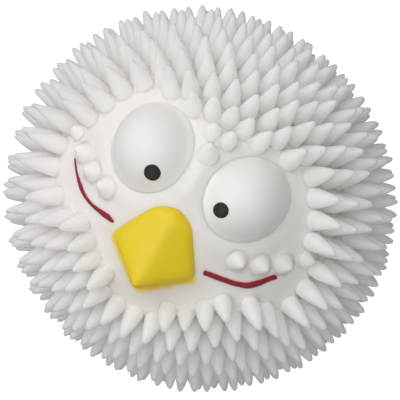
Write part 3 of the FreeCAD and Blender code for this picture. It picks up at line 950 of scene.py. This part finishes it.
@dataclass
class SmileLine:
    """A brushed line of paint: its path over the skin and how hard the brush was pressed."""

    sizes: BallSizes
    skin: SpikySkin
    side: int
    path: tuple[tuple[float, float], ...]
    width: tuple[float, ...]
    steps: int = 90
    ribs: int = 9
    lift: float = 0.16 * MM
    seed: int = 11

    def spline(self) -> tuple[np.ndarray, np.ndarray]:
        """Even points along the path, seen along the face axis, and the width at each.

        Returns:
            Points in metres and widths in metres.
        """
        knots = np.array(self.path) * MM
        reach = np.concatenate([[0], np.cumsum(np.linalg.norm(np.diff(knots, axis=0), axis=1))])
        along = np.linspace(0, reach[-1], self.steps)
        padded = np.concatenate([[2 * knots[0] - knots[1]], knots, [2 * knots[-1] - knots[-2]]])
        out = []
        for s in along:
            i = min(int(np.searchsorted(reach, s, "right")) - 1, len(knots) - 2)
            t = (s - reach[i]) / (reach[i + 1] - reach[i])
            p0, p1, p2, p3 = padded[i : i + 4]
            out.append(0.5 * (
                2 * p1 + (p2 - p0) * t + (2 * p0 - 5 * p1 + 4 * p2 - p3) * t**2
                + (3 * p1 - p0 - 3 * p2 + p3) * t**3
            ))
        return np.array(out), np.interp(along, reach, np.array(self.width) * MM)

    def make(self) -> bpy.types.Object:
        """Builds the line as a thin, domed pool of paint on the skin."""
        draw = random.Random(self.seed + self.side)
        middle, width = self.spline()
        flow = unit(np.gradient(middle, axis=0))
        cross = np.stack([-flow[:, 1], flow[:, 0]], axis=1)
        t = np.linspace(0, 1, self.steps)
        ends = np.sqrt(np.clip(1 - (1 - np.clip(t / 0.02, 0, 1)) ** 2, 0.0, 1))
        ends *= np.sqrt(np.clip(1 - (1 - np.clip((1 - t) / 0.02, 0, 1)) ** 2, 0.0, 1))
        edges = []
        for _ in range(2):
            wave = sum(
                draw.uniform(0.01, 0.045) * np.sin(k * t * 6.3 + draw.uniform(0, 6))
                for k in (2, 5, 9, 14)
            )
            edges.append(np.maximum(width / 2 * (1 + wave) * ends, 0.02 * MM))
        shares = np.linspace(-1, 1, self.ribs)
        rows = []
        for part, level in (("top", 1.0), ("under", -1.0)):
            for share in shares if part == "top" else shares[::-1]:
                reach = np.where(share < 0, edges[0], edges[1]) * share
                spots = middle + cross * reach[:, None]
                depth = self.sizes.core**2 - (spots**2).sum(axis=1)
                ways = unit(np.column_stack([spots, np.sqrt(depth)]))
                dome = math.sqrt(max(0.0, 1 - share**4))
                height = self.lift * (0.25 + 0.75 * dome) if level > 0 else -0.25 * MM
                skin = self.sizes.core + self.skin.relief(ways)
                rows.append(ways * (skin + height)[:, None])
        grid = np.stack(rows, axis=1)
        ring = grid.shape[1]
        points = grid.reshape(-1, 3)
        faces = [f[::-1] for f in MeshKit.lathe_faces(self.steps, ring)]
        first = np.mean(grid[0], axis=0)
        last = np.mean(grid[-1], axis=0)
        points = np.concatenate([points, [first, last]])
        faces += MeshKit.fan(0, ring, len(points) - 2)
        faces += MeshKit.fan((self.steps - 1) * ring, ring, len(points) - 1, inward=True)
        bank = np.concatenate([np.abs(shares), np.ones(self.ribs)])
        values = {
            "bank": np.concatenate([np.tile(bank, self.steps), [1.0, 1.0]]),
            "stroke": np.concatenate([np.repeat(t, ring), [0.0, 1.0]]),
        }
        name = "right" if self.side > 0 else "left"
        return MeshKit.build(f"{name}_smile_paint", points + self.sizes.centre, faces, values)


# ---------------------------------------------------------------- shader helpers


class NodeBench:
    """Adds nodes to one tree and joins them in a line of plain calls."""

    def __init__(self, tree: bpy.types.NodeTree) -> None:
        """Starts on a tree."""
        self.tree = tree

    def add(self, kind: str, **settings: object) -> bpy.types.Node:
        """Adds a node.

        Args:
            kind: Node type, without the leading ShaderNode for shader nodes.
            settings: Properties of the node.

        Returns:
            The node.
        """
        name = kind if kind.startswith("NodeGroup") else f"ShaderNode{kind}"
        node = self.tree.nodes.new(name)
        for key, value in settings.items():
            setattr(node, key, value)
        return node

    def plug(self, socket: bpy.types.NodeSocket, value: object) -> None:
        """Links a socket to another one, or sets its value."""
        if isinstance(value, bpy.types.NodeSocket):
            self.tree.links.new(value, socket)
        else:
            socket.default_value = value

    def feed(self, node: bpy.types.Node, **inputs: object) -> bpy.types.Node:
        """Sets or links a node's inputs by name, with _ for a space.

        Args:
            node: The node.
            inputs: A socket to link, or a value to set, for each input.

        Returns:
            The same node.
        """
        for key, value in inputs.items():
            self.plug(node.inputs[key.replace("_", " ")], value)
        return node

    def maths(self, operation: str, first: object, second: object = 0.0) -> bpy.types.NodeSocket:
        """Result of a Math node on two sockets or numbers."""
        node = self.add("Math", operation=operation)
        for socket, value in zip(node.inputs, (first, second)):
            self.plug(socket, value)
        return node.outputs[0]

    def noise(self, where: object, scale: object, detail: float = 2.0) -> bpy.types.NodeSocket:
        """Value of a noise texture at a place."""
        node = self.add("TexNoise")
        self.feed(node, Vector=where, Scale=scale, Detail=detail)
        return node.outputs[0]

    def span(
        self, value: object, low: float, high: float, to_low: float, to_high: float
    ) -> bpy.types.NodeSocket:
        """Value moved from one range to another, and kept within it."""
        node = self.add("MapRange")
        self.feed(node, Value=value, From_Min=low, From_Max=high, To_Min=to_low, To_Max=to_high)
        return node.outputs[0]

    def blend(self, share: object, first: object, second: object) -> bpy.types.NodeSocket:
        """Colour between two colours."""
        node = self.add("Mix", data_type="RGBA")
        for index, value in ((0, share), (6, first), (7, second)):
            self.plug(node.inputs[index], value)
        return node.outputs[2]

    def point_value(self, name: str) -> bpy.types.NodeSocket:
        """A named value of the mesh's points."""
        return self.add("Attribute", attribute_name=name).outputs["Fac"]

    def place(self) -> bpy.types.NodeSocket:
        """Place on the object, in its own axes."""
        return self.add("TexCoord").outputs["Object"]


class GroupLibrary:
    """Shader node groups that more than one finish uses. Each is built once."""

    def __init__(self, outline: np.ndarray) -> None:
        """Builds every group.

        Args:
            outline: Corners of the beak's foot, seen along the face axis.
        """
        self.moulding = self.make_moulding()
        self.drift = self.make_drift(outline)
        self.spray = self.make_spray()
        self.brush = self.make_brush()

    @staticmethod
    def start(name: str, inputs: dict[str, float], outputs: tuple[str, ...]) -> tuple[
        NodeBench, bpy.types.Node, bpy.types.Node
    ]:
        """Opens a new group with named sockets.

        Args:
            name: Name of the group.
            inputs: Default of each input number.
            outputs: Names of the output numbers.

        Returns:
            The bench, the input node and the output node.
        """
        tree = bpy.data.node_groups.new(name, "ShaderNodeTree")
        for key, number in inputs.items():
            socket = tree.interface.new_socket(key, in_out="INPUT", socket_type="NodeSocketFloat")
            socket.default_value = number
        for key in outputs:
            tree.interface.new_socket(key, in_out="OUTPUT", socket_type="NodeSocketFloat")
        bench = NodeBench(tree)
        return bench, bench.add("NodeGroupInput"), bench.add("NodeGroupOutput")

    def make_moulding(self) -> bpy.types.NodeTree:
        """Soft waviness, flow marks and fine grain of a moulded plastic."""
        bench, given, result = self.start(
            "moulding", {"Wave Scale": 60.0, "Grain Scale": 900.0, "Grain": 0.2},
            ("Height", "Tone", "Polish"),
        )
        where = bench.place()
        wave = bench.noise(where, given.outputs["Wave Scale"], 2.0)
        grain = bench.noise(where, given.outputs["Grain Scale"], 3.0)
        fine = bench.maths("MULTIPLY", grain, given.outputs["Grain"])
        bench.feed(result, Height=bench.maths("ADD", wave, fine))
        bench.feed(result, Tone=bench.noise(where, 26.0, 3.0))
        bench.feed(result, Polish=bench.span(bench.noise(where, 140.0, 2.0), 0.35, 0.65, 0.0, 1.0))
        return bench.tree

    def make_drift(self, outline: np.ndarray) -> bpy.types.NodeTree:
        """Spray that strayed past the beak's edge, most of it towards the chin."""
        bench, given, result = self.start("spray_drift", {"Fray": 1.1}, ("Drift",))
        where = bench.place()
        total = None
        for a, b in zip(outline, np.roll(outline, -1, axis=0)):
            flow = unit(b - a)
            side = bench.add("VectorMath", operation="DOT_PRODUCT")
            bench.tree.links.new(where, side.inputs[0])
            side.inputs[1].default_value = (-flow[1] / MM, flow[0] / MM, 0.0)
            level = float(a @ np.array([-flow[1], flow[0]])) / MM - 0.75 - 2.0
            level += 1.5 if abs(flow[0]) > 0.55 and a[1] + b[1] < -20 * MM else 0.0
            beyond = bench.maths("MAXIMUM", bench.maths("SUBTRACT", side.outputs["Value"], level), 0.0)
            raised = bench.maths("POWER", beyond, 5.0)
            total = raised if total is None else bench.maths("ADD", total, raised)
        gap = bench.maths("SUBTRACT", bench.maths("POWER", total, 0.2), 2.0)
        stray = bench.maths("SUBTRACT", bench.noise(where, 420.0, 3.0), 0.5)
        frayed = bench.maths("ADD", gap, bench.maths("MULTIPLY", stray, given.outputs["Fray"]))
        close = bench.span(frayed, -0.3, 0.9, 0.85, 0.0)
        wide = bench.span(frayed, 0.0, 2.6, 0.14, 0.0)
        height = bench.add("SeparateXYZ")
        bench.feed(height, Vector=where)
        face = bench.span(height.outputs["Z"], 0.070, 0.075, 0.0, 1.0)
        bench.feed(result, Drift=bench.maths("MULTIPLY", bench.maths("ADD", close, wide), face))
        return bench.tree

    def make_spray(self) -> bpy.types.NodeTree:
        """Orange peel and mottling of sprayed paint."""
        bench, given, result = self.start(
            "spray_coat", {"Peel Scale": 700.0, "Mottle Scale": 160.0},
            ("Height", "Mottle"),
        )
        where = bench.place()
        peel = bench.noise(where, given.outputs["Peel Scale"], 1.0)
        mottle = bench.noise(where, given.outputs["Mottle Scale"], 3.0)
        bench.feed(result, Height=peel, Mottle=bench.span(mottle, 0.3, 0.7, 0.0, 1.0))
        return bench.tree

    def make_brush(self) -> bpy.types.NodeTree:
        """Bristle streaks and thin patches of brushed paint."""
        bench, given, result = self.start(
            "brush_coat", {"Streak Scale": 1500.0, "Patch Scale": 420.0},
            ("Height", "Streak", "Patch"),
        )
        where = bench.place()
        stretch = bench.add("Mapping")
        bench.feed(stretch, Vector=where)
        stretch.inputs["Scale"].default_value = (0.15, 1.0, 1.0)
        streak = bench.noise(stretch.outputs[0], given.outputs["Streak Scale"], 2.0)
        patch = bench.noise(where, given.outputs["Patch Scale"], 2.0)
        bench.feed(result, Height=bench.maths("ADD", streak, patch))
        bench.feed(result, Streak=bench.span(streak, 0.35, 0.65, 0.0, 1.0))
        bench.feed(result, Patch=bench.span(patch, 0.35, 0.65, 0.0, 1.0))
        return bench.tree


@dataclass(frozen=True)
class Finish:
    """What every finish has: a name, and a Principled shader to fill."""

    name: str

    def open(self) -> tuple[bpy.types.Material, NodeBench, bpy.types.Node]:
        """Starts an empty material.

        Returns:
            The material, a bench on its tree, and its Principled shader.
        """
        material = bpy.data.materials.new(self.name)
        material.use_nodes = True
        bench = NodeBench(material.node_tree)
        bench.tree.nodes.clear()
        shader = bench.add("BsdfPrincipled")
        out = bench.add("OutputMaterial")
        bench.tree.links.new(shader.outputs[0], out.inputs["Surface"])
        return material, bench, shader

    def group(self, bench: NodeBench, tree: bpy.types.NodeTree, **inputs: float) -> bpy.types.Node:
        """Places a shared group in the material, with its own values."""
        node = bench.add("Group", node_tree=tree)
        return bench.feed(node, **inputs)

    def bump(self, bench: NodeBench, height: object, strength: float, depth: float) -> object:
        """Normal from a height.

        Args:
            bench: The material's bench.
            height: Socket that gives the height.
            strength: How much of it shows, from 0 to 1.
            depth: Height of a full step, in metres.

        Returns:
            The Normal socket.
        """
        node = bench.add("Bump")
        bench.feed(node, Height=height, Strength=strength, Distance=depth)
        return node.outputs[0]


@dataclass(frozen=True)
class VinylFinish(Finish):
    """Soft white vinyl: light soaks into it, the spikes are painted lighter and the skin round their
    roots and between them darker as painted shade, one flank is pinker, spray drifts onto it.
    """

    # Painted light and shade: tip is the lighter colour painted up the spikes, bare the darker painted
    # shade on all the skin off the spikes, the creases between them included.
    tip: Colour = (0.960, 0.935, 0.906, 1)
    bare: Colour = (0.812, 0.795, 0.775, 1)
    blush: Colour = (0.900, 0.840, 0.840, 1)
    spray: Colour = (0.86, 0.66, 0.03, 1)
    soak: float = 1.0
    soak_depth: float = 0.0090

    def make(self, groups: GroupLibrary) -> bpy.types.Material:
        """Builds the material."""
        material, bench, shader = self.open()
        mould = self.group(bench, groups.moulding, Wave_Scale=170.0, Grain_Scale=1400.0, Grain=0.12)
        reach = bench.point_value("reach")
        # Painted shade: the colour goes from bare to tip over the lowest tenth of a spike's height, so
        # roots and valleys stay dark.
        height = bench.span(reach, 0.01, 0.10, 0.0, 1.0)
        body = bench.blend(height, self.bare, self.tip)
        side = bench.add("VectorMath", operation="DOT_PRODUCT")
        bench.tree.links.new(bench.place(), side.inputs[0])
        side.inputs[1].default_value = (-0.87, -0.49, 0.0)
        flank = bench.span(side.outputs["Value"], -0.005, 0.045, 0.05, 0.55)
        blotch = bench.span(mould.outputs["Tone"], 0.40, 0.66, 0.35, 1.2)
        tinted = bench.blend(bench.maths("MULTIPLY", flank, blotch), body, self.blush)
        drift = self.group(bench, groups.drift, Fray=1.0)
        bench.feed(shader, Base_Color=bench.blend(drift.outputs["Drift"], tinted, self.spray))
        bench.feed(shader, Roughness=bench.span(mould.outputs["Polish"], 0.0, 1.0, 0.32, 0.46))
        bench.feed(shader, Normal=self.bump(bench, mould.outputs["Height"], 0.35, 0.00025))
        depth = bench.span(reach, 0.02, 0.25, self.soak_depth / 6, self.soak_depth)
        bench.feed(shader, Subsurface_Weight=self.soak, Subsurface_Scale=depth, IOR=1.47)
        shader.inputs["Subsurface Radius"].default_value = (1.0, 0.98, 0.95)
        shader.inputs["Specular IOR Level"].default_value = 0.42
        return material


@dataclass(frozen=True)
class EyeFinish(Finish):
    """Matt white spray; its rim is painted paler as painted light, to lift the shade where the dome
    curves away.
    """

    coat: Colour = (0.838, 0.825, 0.808, 1)
    # Painted light: thin is the paler colour that lifts the shade on the dome's steep rim.
    thin: Colour = (0.93, 0.912, 0.89, 1)

    def make(self, groups: GroupLibrary) -> bpy.types.Material:
        """Builds the material."""
        material, bench, shader = self.open()
        coat = self.group(bench, groups.spray, Peel_Scale=520.0, Mottle_Scale=130.0)
        # Painted light: the outer rim of the dome and its underside blend towards the paler colour.
        rim = bench.span(bench.point_value("rim"), 0.86, 1.0, 0.0, 0.7)
        mottle = bench.maths("MULTIPLY", coat.outputs["Mottle"], 0.18)
        share = bench.maths("ADD", rim, mottle)
        bench.feed(shader, Base_Color=bench.blend(share, self.coat, self.thin))
        bench.feed(shader, Roughness=bench.span(coat.outputs["Mottle"], 0.0, 1.0, 0.42, 0.55))
        bench.feed(shader, Normal=self.bump(bench, coat.outputs["Height"], 0.25, 0.00010))
        bench.feed(shader, Subsurface_Weight=0.5, Subsurface_Scale=0.0009, IOR=1.47)
        shader.inputs["Subsurface Radius"].default_value = (1.0, 0.98, 0.95)
        return material


@dataclass(frozen=True)
class BeakFinish(Finish):
    """Satin yellow spray, a little heavier at the tip and thin at the foot."""

    coat: Colour = (0.80, 0.605, 0.007, 1)
    heavy: Colour = (0.78, 0.52, 0.007, 1)
    thin: Colour = (0.86, 0.70, 0.050, 1)

    def make(self, groups: GroupLibrary) -> bpy.types.Material:
        """Builds the material."""
        material, bench, shader = self.open()
        coat = self.group(bench, groups.spray, Peel_Scale=420.0, Mottle_Scale=110.0)
        foot = bench.span(bench.point_value("rise"), 0.0, 0.10, 0.75, 0.0)
        base = bench.blend(foot, self.coat, self.thin)
        warm = bench.maths("MULTIPLY", bench.point_value("tip"), 0.75)
        tipped = bench.blend(warm, base, self.heavy)
        share = bench.maths("MULTIPLY", coat.outputs["Mottle"], 0.10)
        bench.feed(shader, Base_Color=bench.blend(share, tipped, self.heavy))
        bench.feed(shader, Roughness=bench.span(coat.outputs["Mottle"], 0.0, 1.0, 0.40, 0.52))
        bench.feed(shader, Normal=self.bump(bench, coat.outputs["Height"], 0.35, 0.00018))
        bench.feed(shader, Subsurface_Weight=0.12, Subsurface_Scale=0.0012, IOR=1.47)
        shader.inputs["Subsurface Radius"].default_value = (1.0, 0.7, 0.2)
        return material


@dataclass(frozen=True)
class PupilFinish(Finish):
    """Near-black dot of paint with a paler, drier middle."""

    wet: Colour = (0.016, 0.013, 0.012, 1)
    dry: Colour = (0.040, 0.036, 0.032, 1)

    def make(self, groups: GroupLibrary) -> bpy.types.Material:
        """Builds the material."""
        material, bench, shader = self.open()
        coat = self.group(bench, groups.brush, Streak_Scale=1100.0, Patch_Scale=700.0)
        middle = bench.span(bench.point_value("rim"), 0.2, 0.8, 1.0, 0.0)
        share = bench.maths("MULTIPLY", middle, coat.outputs["Patch"])
        bench.feed(shader, Base_Color=bench.blend(share, self.wet, self.dry))
        bench.feed(shader, Roughness=bench.span(coat.outputs["Streak"], 0.0, 1.0, 0.42, 0.60))
        bench.feed(shader, Normal=self.bump(bench, coat.outputs["Height"], 0.3, 0.00010))
        bench.feed(shader, IOR=1.45)
        return material


@dataclass(frozen=True)
class SmileFinish(Finish):
    """Crimson brushed line, deeper where the paint pooled."""

    coat: Colour = (0.300, 0.010, 0.022, 1)
    pool: Colour = (0.195, 0.006, 0.014, 1)
    thin: Colour = (0.430, 0.030, 0.050, 1)

    def make(self, groups: GroupLibrary) -> bpy.types.Material:
        """Builds the material."""
        material, bench, shader = self.open()
        coat = self.group(bench, groups.brush, Streak_Scale=1300.0, Patch_Scale=380.0)
        share = bench.maths("MULTIPLY", coat.outputs["Streak"], 0.6)
        body = bench.blend(share, self.coat, self.pool)
        edge = bench.span(bench.point_value("bank"), 0.72, 1.0, 0.0, 0.6)
        bench.feed(shader, Base_Color=bench.blend(edge, body, self.thin))
        bench.feed(shader, Roughness=bench.span(coat.outputs["Patch"], 0.0, 1.0, 0.34, 0.50))
        bench.feed(shader, Normal=self.bump(bench, coat.outputs["Height"], 0.4, 0.00012))
        bench.feed(shader, IOR=1.46)
        return material


@dataclass(frozen=True)
class PlasticFinish(Finish):
    """Milky moulded plastic of the squeaker."""

    pale: Colour = (0.80, 0.80, 0.77, 1)
    flow: Colour = (0.70, 0.70, 0.66, 1)

    def make(self, groups: GroupLibrary) -> bpy.types.Material:
        """Builds the material."""
        material, bench, shader = self.open()
        mould = self.group(bench, groups.moulding, Wave_Scale=90.0, Grain_Scale=2200.0, Grain=0.3)
        share = bench.span(mould.outputs["Tone"], 0.35, 0.65, 0.0, 1.0)
        bench.feed(shader, Base_Color=bench.blend(share, self.pale, self.flow))
        bench.feed(shader, Roughness=bench.span(mould.outputs["Polish"], 0.0, 1.0, 0.30, 0.44))
        bench.feed(shader, Normal=self.bump(bench, mould.outputs["Height"], 0.3, 0.00012))
        bench.feed(shader, Subsurface_Weight=0.25, Subsurface_Scale=0.001, IOR=1.50)
        return material


@dataclass(frozen=True)
class ReedFinish(Finish):
    """Thin clear film with fine rolling marks."""

    tint: Colour = (0.90, 0.93, 0.94, 1)
    haze: Colour = (0.80, 0.84, 0.86, 1)

    def make(self, groups: GroupLibrary) -> bpy.types.Material:
        """Builds the material."""
        material, bench, shader = self.open()
        marks = self.group(bench, groups.brush, Streak_Scale=2600.0, Patch_Scale=300.0)
        bench.feed(shader, Base_Color=bench.blend(marks.outputs["Patch"], self.tint, self.haze))
        bench.feed(shader, Roughness=bench.span(marks.outputs["Streak"], 0.0, 1.0, 0.08, 0.22))
        bench.feed(shader, Normal=self.bump(bench, marks.outputs["Height"], 0.15, 0.00003))
        bench.feed(shader, Transmission_Weight=0.85, IOR=1.57)
        return material


class SlotName(Enum):
    """The record's material slots."""

    SKIN = "white_vinyl"
    EYE = "eye_white"
    PUPIL = "pupil_black"
    BEAK = "beak_yellow"
    SMILE = "smile_red"
    SQUEAKER = "squeaker_plastic"
    REED = "reed_film"


# ---------------------------------------------------------------- the toy


@dataclass
class SqueakyBall:
    """The whole toy: builds each sub-assembly, dresses it and ties the face's pieces to the face's
    body.
    """

    sizes: BallSizes
    groups: GroupLibrary
    still_below: float = 6 * MM
    moving_above: float = 72.5 * MM

    def settle(
        self, piece: bpy.types.Object, finish: bpy.types.Material, slot: SlotName, *nodes: str
    ) -> None:
        """Dresses a piece and hides the frame's parts that it stands for.

        Args:
            piece: The piece.
            finish: Its material.
            slot: The record's slot for that finish; not used.
            nodes: The frame's nodes that it replaces.
        """
        piece.data.materials.append(finish)
        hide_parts(*nodes)
        log.info("%s: %d faces", piece.name, len(piece.data.polygons))

    def make_skin(self) -> SpikySkin:
        """Builds the skin.

        Returns:
            The skin's builder, which knows its relief.
        """
        builder = SpikySkin(self.sizes)
        skin = builder.make()
        vinyl = VinylFinish(SlotName.SKIN.value).make(self.groups)
        self.settle(skin, vinyl, SlotName.SKIN, "skin")
        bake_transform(skin)
        return builder

    def make_face(self, beak: Beak, skin: SpikySkin) -> None:
        """Builds the eyes, the beak and the smile lines, which move with the face.

        Args:
            beak: The beak's builder.
            skin: The skin's builder.
        """
        eye_coat = EyeFinish(SlotName.EYE.value).make(self.groups)
        pupil_coat = PupilFinish(SlotName.PUPIL.value).make(self.groups)
        for side in (-1, 1):
            eye = Eye(self.sizes, side)
            dome, pupil = eye.make_dome(), eye.make_pupil()
            self.settle(dome, eye_coat, SlotName.EYE, f"{eye.name}_eye")
            self.settle(pupil, pupil_coat, SlotName.PUPIL, f"{eye.name}_pupil")
            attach(dome, "face")
            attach(pupil, "face")
        moulding = beak.make()
        beak_coat = BeakFinish(SlotName.BEAK.value).make(self.groups)
        self.settle(moulding, beak_coat, SlotName.BEAK, "beak")
        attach(moulding, "face")
        smile_coat = SmileFinish(SlotName.SMILE.value).make(self.groups)
        left = SmileLine(
            self.sizes, skin, -1,
            path=((-28.9, -2.4), (-26.1, -5.3), (-23.8, -7.1), (-21.3, -8.5), (-18.9, -9.1),
                  (-16.3, -9.3), (-14.2, -9.4), (-12.1, -9.7)),
            width=(0.35, 0.75, 0.95, 0.8, 0.8, 1.15, 1.45, 0.7),
        )
        right = SmileLine(
            self.sizes, skin, 1,
            path=((12.0, -9.6), (14.1, -9.4), (17.2, -9.1), (19.7, -8.8), (21.9, -8.2),
                  (23.4, -7.3), (24.9, -5.8), (26.1, -4.4), (27.2, -3.2)),
            width=(1.3, 1.35, 1.25, 1.3, 1.45, 1.5, 1.3, 1.25, 1.3),
        )
        for line, name in ((left, "left_smile"), (right, "right_smile")):
            paint = line.make()
            self.settle(paint, smile_coat, SlotName.SMILE, name)
            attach(paint, "face")

    def dress_squeaker(self) -> None:
        """Gives the squeaker's own parts their finishes."""
        plastic = PlasticFinish(SlotName.SQUEAKER.value).make(self.groups)
        film = ReedFinish(SlotName.REED.value).make(self.groups)
        parts = ("squeaker_housing", "sound_cap", "whistle_tube", "reed_seat", "reed_clamp")
        for name in parts + ("reed",):
            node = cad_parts[name]
            finish = film if name == "reed" else plastic
            if not node.material_slots:
                node.data.materials.append(finish)
            for slot in node.material_slots:
                slot.material = finish
            log.info("%s keeps its shape and gets %s", name, finish.name)


# ---------------------------------------------------------------- the studio


@dataclass
class Studio:
    """Pale floor, soft light and the camera."""

    sizes: BallSizes
    view: tuple[float, float, float] = (0.087, 0.139, 0.986)
    up: tuple[float, float, float] = (-0.486, 0.870, -0.080)
    distance: float = 0.5
    lens: float = 179.06
    aim: tuple[float, float] = (-0.00008, -0.00023)
    floor_half: float = 3.0

    def axes(self) -> tuple[np.ndarray, np.ndarray, np.ndarray]:
        """The camera's right, up and backward directions."""
        back = unit(np.array(self.view))
        up = np.array(self.up)
        up = unit(up - (up @ back) * back)
        return np.cross(up, back), up, back

    def make_camera(self) -> None:
        """Looks down at the face, which is turned in the picture."""
        right, up, back = self.axes()
        place = self.sizes.centre + back * self.distance + right * self.aim[0] + up * self.aim[1]
        camera = bpy.data.objects.new("camera", bpy.data.cameras.new("camera"))
        camera.matrix_world = Matrix([
            (right[i], up[i], back[i], place[i]) for i in range(3)
        ] + [(0, 0, 0, 1)])
        camera.data.lens, camera.data.sensor_width = self.lens, 36.0
        camera.data.clip_start = 0.01
        bpy.context.collection.objects.link(camera)
        bpy.context.scene.camera = camera

    def softbox(
        self, name: str, sideways: float, upward: float, size: float, power: float, tint: Colour
    ) -> None:
        """Hangs a square soft light that faces the ball.

        Args:
            name: Name of the light.
            sideways: Degrees to the right of the camera.
            upward: Degrees above the camera.
            size: Side of the square, in metres.
            power: In watts.
            tint: Its colour.
        """
        right, up, back = self.axes()
        a, b = math.radians(sideways), math.radians(upward)
        way = unit(
            right * math.sin(a) * math.cos(b) + up * math.sin(b) + back * math.cos(a) * math.cos(b)
        )
        light = bpy.data.lights.new(name, "AREA")
        light.shape, light.size, light.energy, light.color = "SQUARE", size, power, tint[:3]
        lamp = bpy.data.objects.new(name, light)
        lamp.location = self.sizes.centre + way * 0.8
        lamp.rotation_euler = Vector(way).to_track_quat("Z", "Y").to_euler()
        bpy.context.collection.objects.link(lamp)

    def make_lights(self) -> None:
        """Key from the upper left, a slightly stronger front light, and a room that is paler above."""
        self.softbox("key", -50.0, 40.0, 0.6, 1.7, (1.0, 0.998, 0.992, 1))
        self.softbox("front", -12.0, 12.0, 0.6, 2.0, (1.0, 0.998, 0.992, 1))
        world = bpy.data.worlds.new("room")
        world.use_nodes = True
        bench = NodeBench(world.node_tree)
        bench.tree.nodes.clear()
        out = bench.add("OutputWorld")
        walls, seen = bench.add("Background"), bench.add("Background")
        sky = bench.add("TexCoord").outputs["Generated"]
        height = bench.add("SeparateXYZ")
        bench.feed(height, Vector=sky)
        glow = bench.span(height.outputs["Z"], 0.0, 1.0, 0.22, 0.72)
        bench.feed(walls, Color=(1.0, 0.99, 0.975, 1), Strength=glow)
        bench.feed(seen, Color=(1, 1, 1, 1), Strength=1.0)
        mix, path = bench.add("MixShader"), bench.add("LightPath")
        bench.tree.links.new(path.outputs["Is Camera Ray"], mix.inputs[0])
        bench.tree.links.new(walls.outputs[0], mix.inputs[1])
        bench.tree.links.new(seen.outputs[0], mix.inputs[2])
        bench.tree.links.new(mix.outputs[0], out.inputs["Surface"])
        bpy.context.scene.world = world

    def make_floor(self) -> None:
        """Wide paper floor, a little uneven, that looks near white."""
        half, n = self.floor_half, 24
        ticks = np.linspace(-half, half, n)
        grid = [(x, y, 0.0) for y in ticks for x in ticks]
        faces = []
        for i in range(n - 1):
            for j in range(n - 1):
                a = i * n + j
                faces.append((a, a + 1, a + n + 1, a + n))
        floor = MeshKit.build("floor", np.array(grid), faces)
        floor.data.materials.append(self.paper())

    def paper(self) -> bpy.types.Material:
        """Pale paper: bright to the eye, and a calmer grey to the light that bounces off it."""
        material = bpy.data.materials.new("floor_paper")
        material.use_nodes = True
        bench = NodeBench(material.node_tree)
        bench.tree.nodes.clear()
        out = bench.add("OutputMaterial")
        lit, glow, calm = bench.add("BsdfDiffuse"), bench.add("Emission"), bench.add("BsdfDiffuse")
        tooth = bench.span(bench.noise(bench.place(), 900.0, 3.0), 0.3, 0.7, 0.0, 1.0)
        bench.feed(lit, Color=bench.blend(tooth, (0.93, 0.93, 0.93, 1), (0.96, 0.96, 0.96, 1)))
        bench.feed(glow, Color=(1, 1, 1, 1), Strength=0.62)
        bench.feed(calm, Color=(0.34, 0.34, 0.35, 1))
        both, mix, path = bench.add("AddShader"), bench.add("MixShader"), bench.add("LightPath")
        bench.tree.links.new(lit.outputs[0], both.inputs[0])
        bench.tree.links.new(glow.outputs[0], both.inputs[1])
        bench.tree.links.new(path.outputs["Is Camera Ray"], mix.inputs[0])
        bench.tree.links.new(calm.outputs[0], mix.inputs[1])
        bench.tree.links.new(both.outputs[0], mix.inputs[2])
        bench.tree.links.new(mix.outputs[0], out.inputs["Surface"])
        return material

    def make(self) -> None:
        """Sets up the studio."""
        self.make_camera()
        self.make_lights()
        self.make_floor()
        view = bpy.context.scene.view_settings
        view.view_transform, view.look = "Standard", "None"
        log.info("studio ready")


def main() -> None:
    """Builds the toy and its studio."""
    logging.basicConfig(level=logging.INFO, format="%(message)s")
    sizes = BallSizes()
    Studio(sizes).make()
    beak = Beak(sizes)
    ball = SqueakyBall(sizes, GroupLibrary(beak.outline()))
    skin = ball.make_skin()
    ball.make_face(beak, skin)
    ball.dress_squeaker()


if __name__ == "__main__":
    main()
